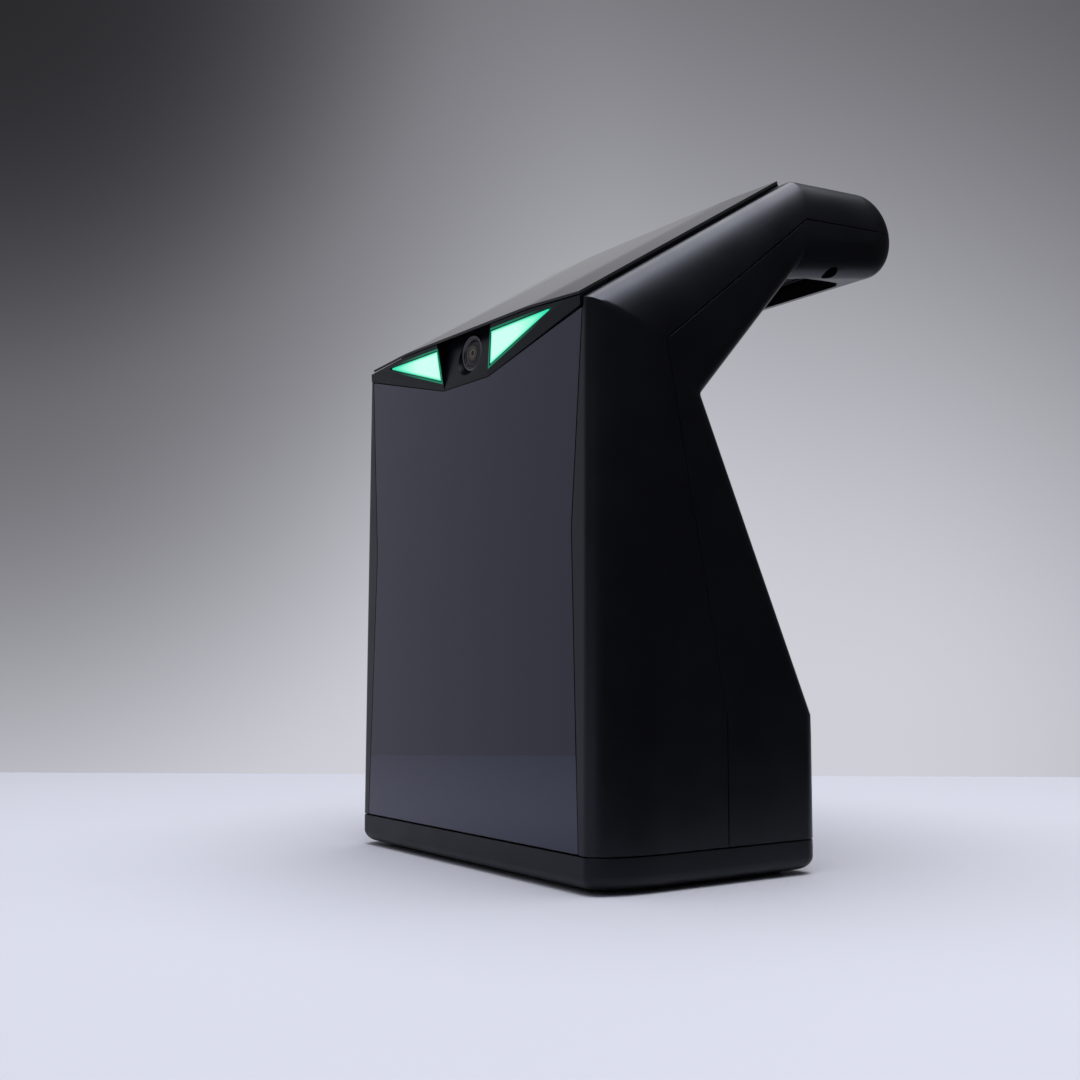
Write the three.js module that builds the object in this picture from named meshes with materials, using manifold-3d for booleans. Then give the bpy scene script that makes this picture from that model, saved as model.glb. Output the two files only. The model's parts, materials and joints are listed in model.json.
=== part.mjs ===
// A free-standing golf launch monitor: an upright body with a smoked front window, two light panels and a
// camera in its brow, a sloping touch screen on top and a carrying handle that reaches back.
// Millimetres, +Z up. In the drawing x is across, y is front to back from the window's face, and z is up
// from the table. The last group moves the drawing so that the part's origin is under its middle.
import * as THREE from "three";
import { mergeVertices } from "three/addons/utils/BufferGeometryUtils.js";
import Module from "manifold-3d";

const wasm = await Module();
wasm.setup();

// ---------- driving dimensions ----------
const GAP = 0.3; // clearance between pieces that touch
const WALL = 2.6; // moulded wall of both shells and the base
const FRONT_WALL = 5.6; // front wall, thick enough for the window's rebate
const REACH = 400; // longer than anything on the object

const HALF_WIDTH = 80.4;
const FLAT_HALF_WIDTH = 71.2; // where the big edge rounds start
const BASE_TOP = 12.1; // seam between the base and the body
const FOOT = 1.5; // height of the rubber foot and its clearance

const REAR_WALL_Y = 95.3;
const REAR_WALL_TOP = 54;
const THROAT = [45, 161]; // deepest point behind the body, under the handle
const BROW_Z = 188.3; // front end of the top slope
const SLOPE = THREE.MathUtils.degToRad(32.16);

const HANDLE_CENTRE = [130.4, 234]; // axis of the handle's round end
const HANDLE_RADIUS = 16.3;
const HANDLE_TOP_ANGLE = 94.5; // outward directions, in degrees from +y towards +z
const HANDLE_UNDER_ANGLE = -79.8;
const NECK_TOP = [88.8, 209.8]; // where the neck's back meets the handle's underside

// Edge rounds between the profile and the side walls: width across, and depth from the profile.
const FRONT_ROUND = { across: HALF_WIDTH - FLAT_HALF_WIDTH, deep: 25 };
const SLOPE_ROUND = { across: HALF_WIDTH - FLAT_HALF_WIDTH, deep: 22.5 };
const HANDLE_TOP_ROUND = { across: HALF_WIDTH - FLAT_HALF_WIDTH, deep: 26 };
const HANDLE_UNDER_ROUND = { across: HALF_WIDTH - FLAT_HALF_WIDTH, deep: 14 };
const REAR_ROUND = { across: 6, deep: 6 };
const ROUND_STEPS = 5;
const HANDLE_FACETS = 8;

// Seam between the front and rear shells, as seen from the side.
const SEAM = [
  [52.7, 54],
  [27.3, 177.1],
  [94.6, 231.2],
  [REACH, 255],
];
const SEAM_SHIFT = 0.2; // each shell steps back from the seam line by this much along y and z

// ---------- solids ----------
function toSolid(geometry) {
  const bare = geometry.clone();
  bare.deleteAttribute("normal");
  bare.deleteAttribute("uv");
  const merged = mergeVertices(bare, 1e-4);
  return new wasm.Manifold(
    new wasm.Mesh({
      numProp: 3,
      vertProperties: merged.attributes.position.array,
      triVerts: new Uint32Array(merged.index.array),
    }),
  );
}

function toGeometry(solid) {
  const { vertProperties, triVerts } = solid.getMesh();
  const geometry = new THREE.BufferGeometry();
  geometry.setAttribute("position", new THREE.BufferAttribute(vertProperties, 3));
  geometry.setIndex(new THREE.BufferAttribute(triVerts, 1));
  geometry.computeVertexNormals();
  return geometry;
}

const join = (first, ...others) => others.reduce((sum, s) => sum.add(s), first);
const cut = (first, ...others) => others.reduce((rest, s) => rest.subtract(s), first);
const common = (first, ...others) => others.reduce((part, s) => part.intersect(s), first);

// An outline pushed along one axis. Outlines are (y, z) for x, (x, z) for y and (x, y) for z.
function prism(axis, outline, from, to) {
  const shape = new THREE.Shape(outline.map(([u, v]) => new THREE.Vector2(u, v)));
  const geometry = new THREE.ExtrudeGeometry(shape, { depth: to - from, bevelEnabled: false });
  const place = new THREE.Matrix4();
  const [X, Y, Z] = [new THREE.Vector3(1, 0, 0), new THREE.Vector3(0, 1, 0), new THREE.Vector3(0, 0, 1)];
  if (axis === "x") place.makeBasis(Y, Z, X).setPosition(from, 0, 0);
  if (axis === "y") place.makeBasis(X, Z, Y.clone().negate()).setPosition(0, to, 0);
  if (axis === "z") place.setPosition(0, 0, from);
  return toSolid(geometry.applyMatrix4(place));
}

function box([x0, x1], [y0, y1], [z0, z1]) {
  const geometry = new THREE.BoxGeometry(x1 - x0, y1 - y0, z1 - z0);
  return toSolid(geometry.translate((x0 + x1) / 2, (y0 + y1) / 2, (z0 + z1) / 2));
}

function arc([u, v], radius, startDegrees, endDegrees, steps) {
  return Array.from({ length: steps + 1 }, (_, i) => {
    const turn = THREE.MathUtils.degToRad(startDegrees + ((endDegrees - startDegrees) * i) / steps);
    return [u + radius * Math.cos(turn), v + radius * Math.sin(turn)];
  });
}

const circle = (centre, radius, steps = 16) => arc(centre, radius, 0, 360, steps).slice(0, steps);

const rod = (axis, centre, radius, from, to, steps) => prism(axis, circle(centre, radius, steps), from, to);

function roundedRectangle([u0, u1], [v0, v1], radius, steps = 4) {
  const corners = [
    [u1 - radius, v1 - radius],
    [u0 + radius, v1 - radius],
    [u0 + radius, v0 + radius],
    [u1 - radius, v0 + radius],
  ];
  return corners.flatMap((corner, i) => arc(corner, radius, i * 90, i * 90 + 90, steps));
}

// A turned solid about a line along y, from [radius, y] pairs that start and end on the axis.
function turnedY(profile, x, z, steps = 20) {
  const points = profile.map(([radius, y]) => new THREE.Vector2(radius, y));
  return toSolid(new THREE.LatheGeometry(points, steps).translate(x, 0, z));
}

// A turned solid about a vertical line, from [radius, z] pairs that start and end on the axis.
function turnedZ(profile, x, y, steps = 16) {
  const points = profile.map(([radius, z]) => new THREE.Vector2(radius, z));
  return toSolid(new THREE.LatheGeometry(points, steps).rotateX(Math.PI / 2).translate(x, y, 0));
}

const mirrored = (outline) => [...outline, ...outline.map(([u, v]) => [-u, v]).reverse()];

// Moves each side of an anticlockwise outline inwards by the same distance.
function inset(outline, distance) {
  const sides = outline.map((point, i) => {
    const next = outline[(i + 1) % outline.length];
    const along = new THREE.Vector2(next[0] - point[0], next[1] - point[1]).normalize();
    const start = new THREE.Vector2(point[0] - along.y * distance, point[1] + along.x * distance);
    return { start, along };
  });
  return sides.map((side, i) => {
    const before = sides.at(i - 1);
    const turn = before.along.cross(side.along);
    if (Math.abs(turn) < 1e-6) return side.start.toArray();
    const t = side.start.clone().sub(before.start).cross(side.along) / turn;
    return before.start.clone().addScaledVector(before.along, t).toArray();
  });
}

// A closed skin through rings of the same number of points, flat at both ends.
function loft(rings) {
  const count = rings[0].length;
  const positions = rings.flat().flat();
  const index = [];
  rings.slice(1).forEach((_, r) => {
    for (let i = 0; i < count; i++) {
      const a = r * count + i;
      const b = r * count + ((i + 1) % count);
      index.push(a, b, a + count, b, b + count, a + count);
    }
  });
  const last = (rings.length - 1) * count;
  for (let i = 1; i < count - 1; i++) {
    index.push(0, i + 1, i);
    index.push(last, last + i, last + i + 1);
  }
  const geometry = new THREE.BufferGeometry();
  geometry.setAttribute("position", new THREE.Float32BufferAttribute(positions, 3));
  geometry.setIndex(index);
  return toSolid(geometry);
}

// ---------- the body's outer form ----------
// Everything on the inner side of one line of the side profile, with both side edges rounded.
function edgeSlab([y0, z0], [y1, z1], round, wall) {
  const along = new THREE.Vector3(0, y1 - y0, z1 - z0).normalize();
  const inward = new THREE.Vector3(0, -along.z, along.y);
  const start = HALF_WIDTH - round.across;
  const corner = Array.from({ length: ROUND_STEPS + 1 }, (_, i) => {
    const turn = ((Math.PI / 2) * i) / ROUND_STEPS;
    return [
      round.deep - (round.deep - wall) * Math.cos(turn),
      start + (round.across - Math.min(WALL, wall)) * Math.sin(turn),
    ];
  });
  const half = [...corner, [REACH, corner.at(-1)[1]]];
  const outline = [...half, ...half.map(([depth, x]) => [depth, -x]).reverse()];
  const shape = new THREE.Shape(outline.map(([u, v]) => new THREE.Vector2(u, v)));
  const geometry = new THREE.ExtrudeGeometry(shape, { depth: 2 * REACH, bevelEnabled: false });
  const place = new THREE.Matrix4().makeBasis(inward, new THREE.Vector3(1, 0, 0), along);
  place.setPosition(new THREE.Vector3(0, y0, z0).addScaledVector(along, -REACH));
  return toSolid(geometry.applyMatrix4(place));
}

function handleTangent(degrees) {
  const turn = THREE.MathUtils.degToRad(degrees);
  const outward = [Math.cos(turn), Math.sin(turn)];
  const touch = HANDLE_CENTRE.map((c, i) => c + HANDLE_RADIUS * outward[i]);
  return [touch, [touch[0] - outward[1], touch[1] + outward[0]]];
}

// The whole outer form above the base, or the same form shrunk by a wall and left open below.
function bodyForm(wall, frontWall = wall) {
  const bottom = wall ? -REACH : BASE_TOP;
  const front = edgeSlab([0, REACH], [0, 0], FRONT_ROUND, frontWall);
  const slopeEnd = [Math.cos(SLOPE), BROW_Z + Math.sin(SLOPE)];
  const slope = edgeSlab(slopeEnd, [0, BROW_Z], SLOPE_ROUND, wall);
  const handleEnd = Array.from({ length: HANDLE_FACETS + 1 }, (_, i) => {
    const share = i / HANDLE_FACETS;
    const deep = THREE.MathUtils.lerp(HANDLE_UNDER_ROUND.deep, HANDLE_TOP_ROUND.deep, share);
    const angle = THREE.MathUtils.lerp(HANDLE_UNDER_ANGLE, HANDLE_TOP_ANGLE, share);
    return { angle, slab: edgeSlab(...handleTangent(angle), { ...HANDLE_TOP_ROUND, deep }, wall) };
  });
  const handleTop = handleEnd.filter(({ angle }) => angle >= 0).map(({ slab }) => slab);
  const handleUnder = handleEnd.filter(({ angle }) => angle < 0).map(({ slab }) => slab);
  const rearWall = edgeSlab([REAR_WALL_Y, 0], [REAR_WALL_Y, REAR_WALL_TOP], REAR_ROUND, wall);
  const rearSlope = edgeSlab([REAR_WALL_Y, REAR_WALL_TOP], THROAT, REAR_ROUND, wall);
  const neck = edgeSlab(THROAT, NECK_TOP, REAR_ROUND, wall);
  const behind = join(common(rearWall, rearSlope), neck, common(...handleUnder));
  const above = box([-REACH, REACH], [-REACH, REACH], [bottom, REACH]);
  return common(front, slope, ...handleTop, behind, above);
}

const outer = bodyForm(0);

// Turns an outline that stands at y = 0 into one that leans forward towards its top, like the brow's face.
const LEAN_FOOT_Z = 172.7;
const LEAN = 1.1 / 16.3; // forward for each millimetre up
function behindLeaningFace(setBack) {
  const top = 40;
  const face = [
    [setBack, LEAN_FOOT_Z - 5],
    [REACH, LEAN_FOOT_Z - 5],
    [REACH, LEAN_FOOT_Z + top],
    [setBack - LEAN * top, LEAN_FOOT_Z + top],
    [setBack, LEAN_FOOT_Z],
  ];
  return prism("x", face, -REACH, REACH);
}

// ---------- front window ----------
const WINDOW = mirrored([
  [68.6, 12.4],
  [64.8, 114.5],
  [70.5, 185.4],
  [15.3, 172.3],
]);
const WINDOW_THICK = 2;
const REBATE = 3.4;
const LIP = 4.5; // how far the shell's lip reaches behind the window

function frontWindow() {
  return prism("y", WINDOW, 0, WINDOW_THICK);
}

function windowGasket() {
  const [from, to] = [WINDOW_THICK + GAP, REBATE - GAP];
  const ring = prism("y", inset(WINDOW, 0.8), from, to);
  return cut(ring, prism("y", inset(WINDOW, LIP - 0.5), from - 1, to + 1));
}

// ---------- top slope: screen frame and glass ----------
const PLATE_HALF_WIDTH = 69.7;
const PLATE_START = 0.6; // along the slope from its front end
const PLATE_END = 107.4;
const CROWN_FLAT = 42; // half width of the middle facet of the glass
const CROWN_FRONT = 1.55;
const CROWN_REAR = 0.7;
const GLASS_UNDER = 1.3;
const GLASS_TOP = 2.2;

const slopeFrame = new THREE.Matrix4().makeRotationX(SLOPE).setPosition(0, 0, BROW_Z);
const onSlope = (solid) => toSolid(toGeometry(solid).applyMatrix4(slopeFrame));

// A block on the slope whose top has three facets, highest in the middle.
function crownBlock(height, [start, end], halfWidth, bottom = -4) {
  const ring = (v) => {
    const share = (v - PLATE_START) / (PLATE_END - PLATE_START);
    const crown = THREE.MathUtils.lerp(CROWN_FRONT, CROWN_REAR, share);
    return [
      [-halfWidth, v, bottom],
      [halfWidth, v, bottom],
      [halfWidth, v, height],
      [CROWN_FLAT, v, height + crown],
      [-CROWN_FLAT, v, height + crown],
      [-halfWidth, v, height],
    ];
  };
  return onSlope(loft([ring(end), ring(start)]));
}

const slopeBox = (x, v, w) => onSlope(box(x, v, w));

const SCREEN_X = 60.2;
const SCREEN_V = [21.4, 95.6];
const FRAME_START = 15; // behind the brow

function displayGlass() {
  const span = [PLATE_START, PLATE_END];
  return cut(
    crownBlock(GLASS_TOP, span, PLATE_HALF_WIDTH),
    crownBlock(GLASS_UNDER, [span[0] - 1, span[1] + 1], PLATE_HALF_WIDTH + 1, -6),
  );
}

function displayFrame() {
  const flange = cut(
    crownBlock(GLASS_UNDER - GAP, [FRAME_START, PLATE_END - 0.4], PLATE_HALF_WIDTH - 0.4),
    slopeBox([-REACH, REACH], [-REACH, REACH], [-REACH, GAP]),
  );
  const collar = slopeBox([-SCREEN_X - 2, SCREEN_X + 2], [SCREEN_V[0] - 2, SCREEN_V[1] + 2], [-5, 0.8]);
  const inside = [SCREEN_V[0] - GAP, SCREEN_V[1] + GAP];
  const opening = slopeBox([-SCREEN_X - GAP, SCREEN_X + GAP], inside, [-9, 9]);
  return cut(join(flange, collar), opening);
}

const screenLayer = (w) => slopeBox([-SCREEN_X, SCREEN_X], SCREEN_V, w);

// ---------- brow: light panels and camera ----------
const BROW = mirrored([
  [15.3, 172.7],
  [70.6, 185.9],
  [70.6, 200],
]);
const BROW_DEPTH = 10.5;
const EYE = [
  [54.9, 188.2],
  [18.7, 188],
  [16.8, 176.7],
];
const EYE_SET_BACK = 0.1;
const BROW_LENS_Z = 184.4;

function bay() {
  const floorTop = 3.6;
  const wedge = [
    [-6, 172.7],
    [0, 172.7],
    [floorTop, 192],
    [floorTop, 200],
    [-6, 200],
  ];
  const sides = mirrored([
    [14.6, 172.6],
    [18.9, 192],
    [18.9, 200],
  ]);
  return common(prism("x", wedge, -30, 30), prism("y", sides, -6, 6));
}

const eyeOutline = (side) => (side > 0 ? EYE : EYE.map(([x, z]) => [-x, z]).reverse());

function browBezel() {
  const blank = common(
    prism("y", BROW, -4, BROW_DEPTH),
    behindLeaningFace(0),
    crownBlock(GLASS_UNDER - GAP, [-14, 40], PLATE_HALF_WIDTH + 1, -60),
  );
  const eyes = [1, -1].flatMap((side) => [
    prism("y", inset(eyeOutline(side), -GAP), -4, 3.4),
    prism("y", inset(eyeOutline(side), -0.9), 3.3, BROW_DEPTH + 1),
  ]);
  const well = turnedY(
    [[0, -4], [8.4, -4], [8.4, 1], [7.1, 3], [7.1, 5.9], [5.3, 5.9], [5.3, BROW_DEPTH + 1], [0, BROW_DEPTH + 1]],
    0,
    BROW_LENS_Z,
  );
  return cut(blank, bay(), well, ...eyes);
}

const eyeLens = (side) => common(prism("y", eyeOutline(side), -3, 3), behindLeaningFace(EYE_SET_BACK));

function eyeLightBoard(side) {
  const board = prism("y", inset(eyeOutline(side), -0.5), 5, 6.4);
  const lights = [22, 29, 36].map((x) => box([side * x - 1, side * x + 1], [4.2, 5.1], [183.5, 185.5]));
  return join(board, ...lights);
}

const browLensRing = () =>
  turnedY([[5.1, 3.2], [6.1, 2.8], [6.8, 3.1], [6.8, 5.5], [5.1, 5.5], [5.1, 3.2]], 0, BROW_LENS_Z);
const browLensGlass = () => turnedY([[0, 3.1], [2.8, 3.2], [4.8, 3.5], [4.8, 5.3], [0, 5.3]], 0, BROW_LENS_Z);
const browCameraBarrel = () => turnedY([[0, 5.8], [4.9, 5.8], [4.9, 13], [0, 13]], 0, BROW_LENS_Z);
const browCameraBoard = () => box([-10, 10], [13.3, 14.5], [BROW_LENS_Z - 7, BROW_LENS_Z + 7]);

// ---------- finger recess and grip in the handle ----------
const RECESS = mirrored([
  [71.5, 91],
  [72.3, 101],
  [70, 111],
  [65.3, 126],
  [60, 131.5],
]);
const RECESS_CEILING = 226;
const RECESS_WALL = 2.4;
const HANDLE_SCREW = [74.6, 111.5]; // x, y of the screw well at each side
const HANDLE_WELL_HALF = [2.4, 3.3]; // half sizes of its slot across and along
const HANDLE_WELL_TOP = 226;

function wellOutline([x, y]) {
  const [across, along] = HANDLE_WELL_HALF;
  return roundedRectangle([x - across, x + across], [y - along, y + along], across - 0.05, 4);
}

const gripPad = () => prism("z", inset(RECESS, 1), RECESS_CEILING - 2.1, RECESS_CEILING - GAP);

// ---------- shells ----------
const BASE_SCREWS = [
  [64, 13],
  [-64, 13],
  [64, 84],
  [-64, 84],
];
const CHASSIS_SCREWS = [
  [67.6, 32],
  [-67.6, 32],
  [67.6, 158],
  [-67.6, 158],
];
const SCREW_HOLE = 1.7;

const shifted = (line, amount) => line.map(([y, z]) => [y - amount, z + amount]);

function seamSide(front) {
  const line = shifted(SEAM, front ? SEAM_SHIFT : -SEAM_SHIFT);
  const down = [line[0][0], -REACH];
  const far = line.at(-1);
  const around = front
    ? [[far[0], REACH], [-REACH, REACH], [-REACH, -REACH]]
    : [[far[0], -REACH]];
  return prism("x", [down, ...line, ...around], -REACH, REACH);
}

// The finger recess's walls belong to the rear shell alone.
const recessWalls = common(
  prism("z", inset(RECESS, -RECESS_WALL), 190, RECESS_CEILING + RECESS_WALL),
  seamSide(false),
);
const hollow = cut(bodyForm(WALL, FRONT_WALL), recessWalls);
const shellWalls = cut(outer, hollow);

// A screw post that stands on the base seam and is tied to the side wall by a rib.
function basePost([x, y]) {
  const wallSide = x > 0 ? [x, HALF_WIDTH] : [-HALF_WIDTH, x];
  return common(
    join(rod("z", [x, y], 4.3, BASE_TOP, 24), box(wallSide, [y - 1, y + 1], [BASE_TOP, 24])),
    outer,
  );
}

const basePostHole = ([x, y]) => rod("z", [x, y], SCREW_HOLE, BASE_TOP - 1, 21.5, 12);

function frontShell() {
  const chassisPosts = CHASSIS_SCREWS.map((place) => rod("y", place, 3.2, 5.4, 9.7, 12));
  const handlePosts = [1, -1].map((side) =>
    rod("z", [side * HANDLE_SCREW[0], HANDLE_SCREW[1]], 3.7, 233.2, 252, 16),
  );
  const basePosts = BASE_SCREWS.slice(0, 2).map(basePost);
  const walls = common(shellWalls, seamSide(true));
  const solid = common(join(walls, ...basePosts, ...chassisPosts, ...handlePosts), outer);
  return cut(
    solid,
    prism("y", inset(WINDOW, -GAP), -1, REBATE),
    box([-68.9, 68.9], [-1, REBATE], [BASE_TOP - 1, BASE_TOP + 1]),
    prism("y", inset(WINDOW, LIP), REBATE - 1, FRONT_WALL + 1),
    prism("y", inset(BROW, -GAP), -5, BROW_DEPTH + GAP),
    slopeBox([-SCREEN_X - 2.4, SCREEN_X + 2.4], [SCREEN_V[0] - 2.4, SCREEN_V[1] + 2.4], [-9, 9]),
    ...BASE_SCREWS.slice(0, 2).map(basePostHole),
    ...CHASSIS_SCREWS.map((place) => rod("y", place, 1.5, 6.4, 10, 10)),
    ...[1, -1].map((side) => rod("z", [side * HANDLE_SCREW[0], HANDLE_SCREW[1]], SCREW_HOLE, 230, 239, 12)),
  );
}

// Rear wall sockets: the power button and the charging port under its cover.
const BUTTON = [18, 34];
const PORT = [-14, 33.1];
const COVER = { width: 19.4, bottom: 27.3, top: 39.2, thick: 1.2 };
const IO_SCREWS = [
  [26, 42],
  [-26, 24],
];
const IO_BOARD_Y = [84, 85.6];

function rearShell() {
  const wells = [1, -1].map((side) =>
    common(rod("z", [side * HANDLE_SCREW[0], HANDLE_SCREW[1]], 5.1, 205, 230.5), outer),
  );
  const portPad = box([PORT[0] - 12, PORT[0] + 12], [REAR_WALL_Y - 4.3, REAR_WALL_Y - 1], [25, 41.5]);
  const ioPosts = IO_SCREWS.map((place) => rod("y", place, 2.6, IO_BOARD_Y[1] + GAP, REAR_WALL_Y - 1, 12));
  const solid = join(
    common(shellWalls, seamSide(false)),
    ...BASE_SCREWS.slice(2).map(basePost),
    ...wells,
    portPad,
    ...ioPosts,
  );
  const handleHoles = [1, -1].flatMap((side) => {
    const place = [side * HANDLE_SCREW[0], HANDLE_SCREW[1]];
    return [
      prism("z", wellOutline(place), 200, HANDLE_WELL_TOP),
      rod("z", place, SCREW_HOLE, HANDLE_WELL_TOP - 1, 231, 12),
    ];
  });
  const coverSeat = box(
    [PORT[0] - COVER.width / 2 - GAP, PORT[0] + COVER.width / 2 + GAP],
    [REAR_WALL_Y - COVER.thick - GAP, REAR_WALL_Y + 1],
    [COVER.bottom - GAP, COVER.top + GAP],
  );
  const nailNotch = box(
    [PORT[0] - 4, PORT[0] + 4],
    [REAR_WALL_Y - 1, REAR_WALL_Y + 1],
    [COVER.bottom - 1.4, COVER.bottom - 0.1],
  );
  const plugHole = roundedRectangle([PORT[0] - 5.4, PORT[0] + 5.4], [PORT[1] - 2.2, PORT[1] + 2], 1.9, 3);
  return cut(
    solid,
    prism("z", RECESS, 190, RECESS_CEILING),
    ...BASE_SCREWS.slice(2).map(basePostHole),
    ...handleHoles,
    coverSeat,
    prism("y", plugHole, REAR_WALL_Y - 6, REAR_WALL_Y),
    rod("y", BUTTON, 6.3, REAR_WALL_Y - 5, REAR_WALL_Y + 1),
    ...IO_SCREWS.map((place) => rod("y", place, 1.4, 85, 90.5, 10)),
    nailNotch,
  );
}

// ---------- base ----------
const basePlan = (() => {
  const { across, deep } = FRONT_ROUND;
  const quarter = (i, steps) => (Math.PI / 2) * (i / steps);
  const front = Array.from({ length: ROUND_STEPS + 1 }, (_, i) => {
    const turn = quarter(i, ROUND_STEPS);
    return [FLAT_HALF_WIDTH + across * Math.sin(turn), deep - deep * Math.cos(turn)];
  });
  const corner = [HALF_WIDTH - REAR_ROUND.across, REAR_WALL_Y - REAR_ROUND.deep];
  return mirrored([...front, ...arc(corner, REAR_ROUND.across, 0, 90, 4)]);
})();

// The base outline drawn smaller by the same amount at the front, back and sides.
function shrunkPlan(amount) {
  const middle = REAR_WALL_Y / 2;
  return basePlan.map(([x, y]) => [
    x * (1 - amount / HALF_WIDTH),
    middle + (y - middle) * (1 - amount / middle),
  ]);
}

const BASE_ROUND = 4.6;
const BASE_FLOOR = 4.1;

function baseTray() {
  const rings = [0, 30, 60, 90].map((degrees) => {
    const turn = THREE.MathUtils.degToRad(degrees);
    const z = FOOT + BASE_ROUND * (1 - Math.cos(turn));
    return shrunkPlan(BASE_ROUND * (1 - Math.sin(turn))).map(([x, y]) => [x, y, z]);
  });
  rings.push(basePlan.map(([x, y]) => [x, y, BASE_TOP - GAP]));
  const posts = BASE_SCREWS.map((place) => rod("z", place, 4.5, FOOT + 0.5, BASE_TOP - GAP));
  const tray = join(cut(loft(rings), prism("z", shrunkPlan(WALL), BASE_FLOOR, BASE_TOP + 1)), ...posts);
  const holes = BASE_SCREWS.flatMap((place) => [
    rod("z", place, 3.4, 0, 4.4, 16),
    rod("z", place, SCREW_HOLE, 4, BASE_TOP + 1, 12),
  ]);
  return cut(tray, ...holes);
}

const footPad = () => prism("z", shrunkPlan(8), 0, FOOT - GAP);

// ---------- fasteners ----------
const baseScrew = ([x, y]) =>
  turnedZ([[0, 1.8], [3.1, 1.8], [3.1, 4.1], [1.4, 4.1], [1.4, 20], [0, 20]], x, y, 12);
const handleScrew = (side) =>
  turnedZ(
    [[0, 223.4], [2.1, 223.4], [2.1, 225.7], [1.2, 225.7], [1.2, 238], [0, 238]],
    side * HANDLE_SCREW[0],
    HANDLE_SCREW[1],
    12,
  );
// Small screws along y: one kind has its head towards the back, the other has it towards the front.
const SMALL_SCREW = { shank: 1.2, head: 2.6, headHeight: 1.8 };

function screwY([x, z], headFrom, tip) {
  const { shank, head, headHeight } = SMALL_SCREW;
  const headTo = headFrom + headHeight;
  const profile = [[0, tip], [shank, tip], [shank, headFrom], [head, headFrom], [head, headTo], [0, headTo]];
  return turnedY(profile, x, z, 12);
}

function screwFromFront([x, z], headTo, tip) {
  const { shank, head, headHeight } = SMALL_SCREW;
  const headFrom = headTo - headHeight;
  const profile = [[0, headFrom], [head, headFrom], [head, headTo], [shank, headTo], [shank, tip], [0, tip]];
  return turnedY(profile, x, z, 12);
}

// ---------- chassis and front cameras ----------
const CHASSIS_Y = [10, 12];
const CAMERA = { x: 38, z: 128 };
const BOARD_POSTS = [
  [56, 58],
  [-56, 58],
  [56, 146],
  [-56, 146],
];
const MAIN_BOARD_Y = [30, 31.6];

function chassisFrame() {
  const plate = prism("y", roundedRectangle([-71, 71], [26, 164], 4), ...CHASSIS_Y);
  const posts = BOARD_POSTS.map((place) => rod("y", place, 2.7, CHASSIS_Y[0], MAIN_BOARD_Y[0] - GAP, 12));
  return cut(
    join(plate, ...posts),
    ...BOARD_POSTS.map((place) => rod("y", place, 1.5, 22, 31, 10)),
    ...CHASSIS_SCREWS.map((place) => rod("y", place, 1.6, 9, 13, 10)),
    ...[1, -1].map((side) => rod("y", [side * CAMERA.x, CAMERA.z], 8.4, 9, 13)),
    prism("y", roundedRectangle([-40, 40], [82, 104], 3, 2), 9, 13),
  );
}

const cameraLens = (side) =>
  turnedY(
    [[0, 7.4], [3.5, 7.7], [5.6, 8.6], [5.6, 7.2], [7.2, 7.2], [7.2, 14], [6, 14], [6, 22], [0, 22]],
    side * CAMERA.x,
    CAMERA.z,
    20,
  );

function cameraHolder(side) {
  const x = side * CAMERA.x;
  const block = box([x - 11, x + 11], [14.3, 24], [CAMERA.z - 11, CAMERA.z + 11]);
  const ears = box([x - 14, x + 14], [22, 24], [CAMERA.z - 4, CAMERA.z + 4]);
  return cut(join(block, ears), rod("y", [x, CAMERA.z], 6.3, 13, 25));
}

function cameraBoard(side) {
  const x = side * CAMERA.x;
  const sensor = box([x - 4, x + 4], [23.1, 24.5], [CAMERA.z - 3.5, CAMERA.z + 3.5]);
  return join(box([x - 14, x + 14], [24.3, 25.9], [CAMERA.z - 14, CAMERA.z + 14]), sensor);
}

// A board with a grid of round infrared emitters that face the window.
function lightBoard([x0, x1], [z0, z1], columns, rows) {
  const emitters = Array.from({ length: columns * rows }, (_, i) => {
    const column = i % columns;
    const row = Math.floor(i / columns);
    const x = x0 + ((x1 - x0) * (column + 0.5)) / columns;
    const z = z0 + ((z1 - z0) * (row + 0.5)) / rows;
    return rod("y", [x, z], 2.5, 6.2, 8, 10);
  });
  return join(box([x0, x1], [7.9, 9.5], [z0, z1]), ...emitters);
}

// ---------- electronics ----------
const mainBoard = () =>
  cut(
    box([-60, 60], MAIN_BOARD_Y, [52, 150]),
    ...BOARD_POSTS.map((place) => rod("y", place, 1.6, 29, 33, 10)),
  );

const shieldCan = () => prism("y", roundedRectangle([10, 46], [100, 136], 2, 2), 31.9, 34.9);

function heatSink() {
  const fins = Array.from({ length: 7 }, (_, i) => -47 + i * 7.5);
  return join(
    box([-48, 0], [31.9, 34.4], [70, 130]),
    ...fins.map((x) => box([x - 0.7, x + 0.7], [34.3, 42], [70, 130])),
  );
}

// A flat cable seen from the side as a thin band that follows the given (y, z) points.
function ribbon(path, [x0, x1], thick = 0.4) {
  const points = path.map(([y, z]) => new THREE.Vector3(y, z, 0));
  const curve = new THREE.CatmullRomCurve3(points, false, "centripetal");
  const steps = path.length * 4;
  const sides = Array.from({ length: steps + 1 }, (_, i) => {
    const { x: y, y: z } = curve.getPoint(i / steps);
    const along = curve.getTangent(i / steps);
    const aside = [(-along.y * thick) / 2, (along.x * thick) / 2];
    return [[y + aside[0], z + aside[1]], [y - aside[0], z - aside[1]]];
  });
  return prism("x", [...sides.map(([a]) => a), ...sides.map(([, b]) => b).reverse()], x0, x1);
}

const DISPLAY_RIBBON = [[38, 202], [34.5, 190], [32.8, 168], [32.2, 150], [32.2, 138]];
const IO_RIBBON = [[83.3, 30], [83.3, 38], [82.4, 44], [78, 48], [60, 49], [40, 52], [33, 58], [32.2, 68]];

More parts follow.
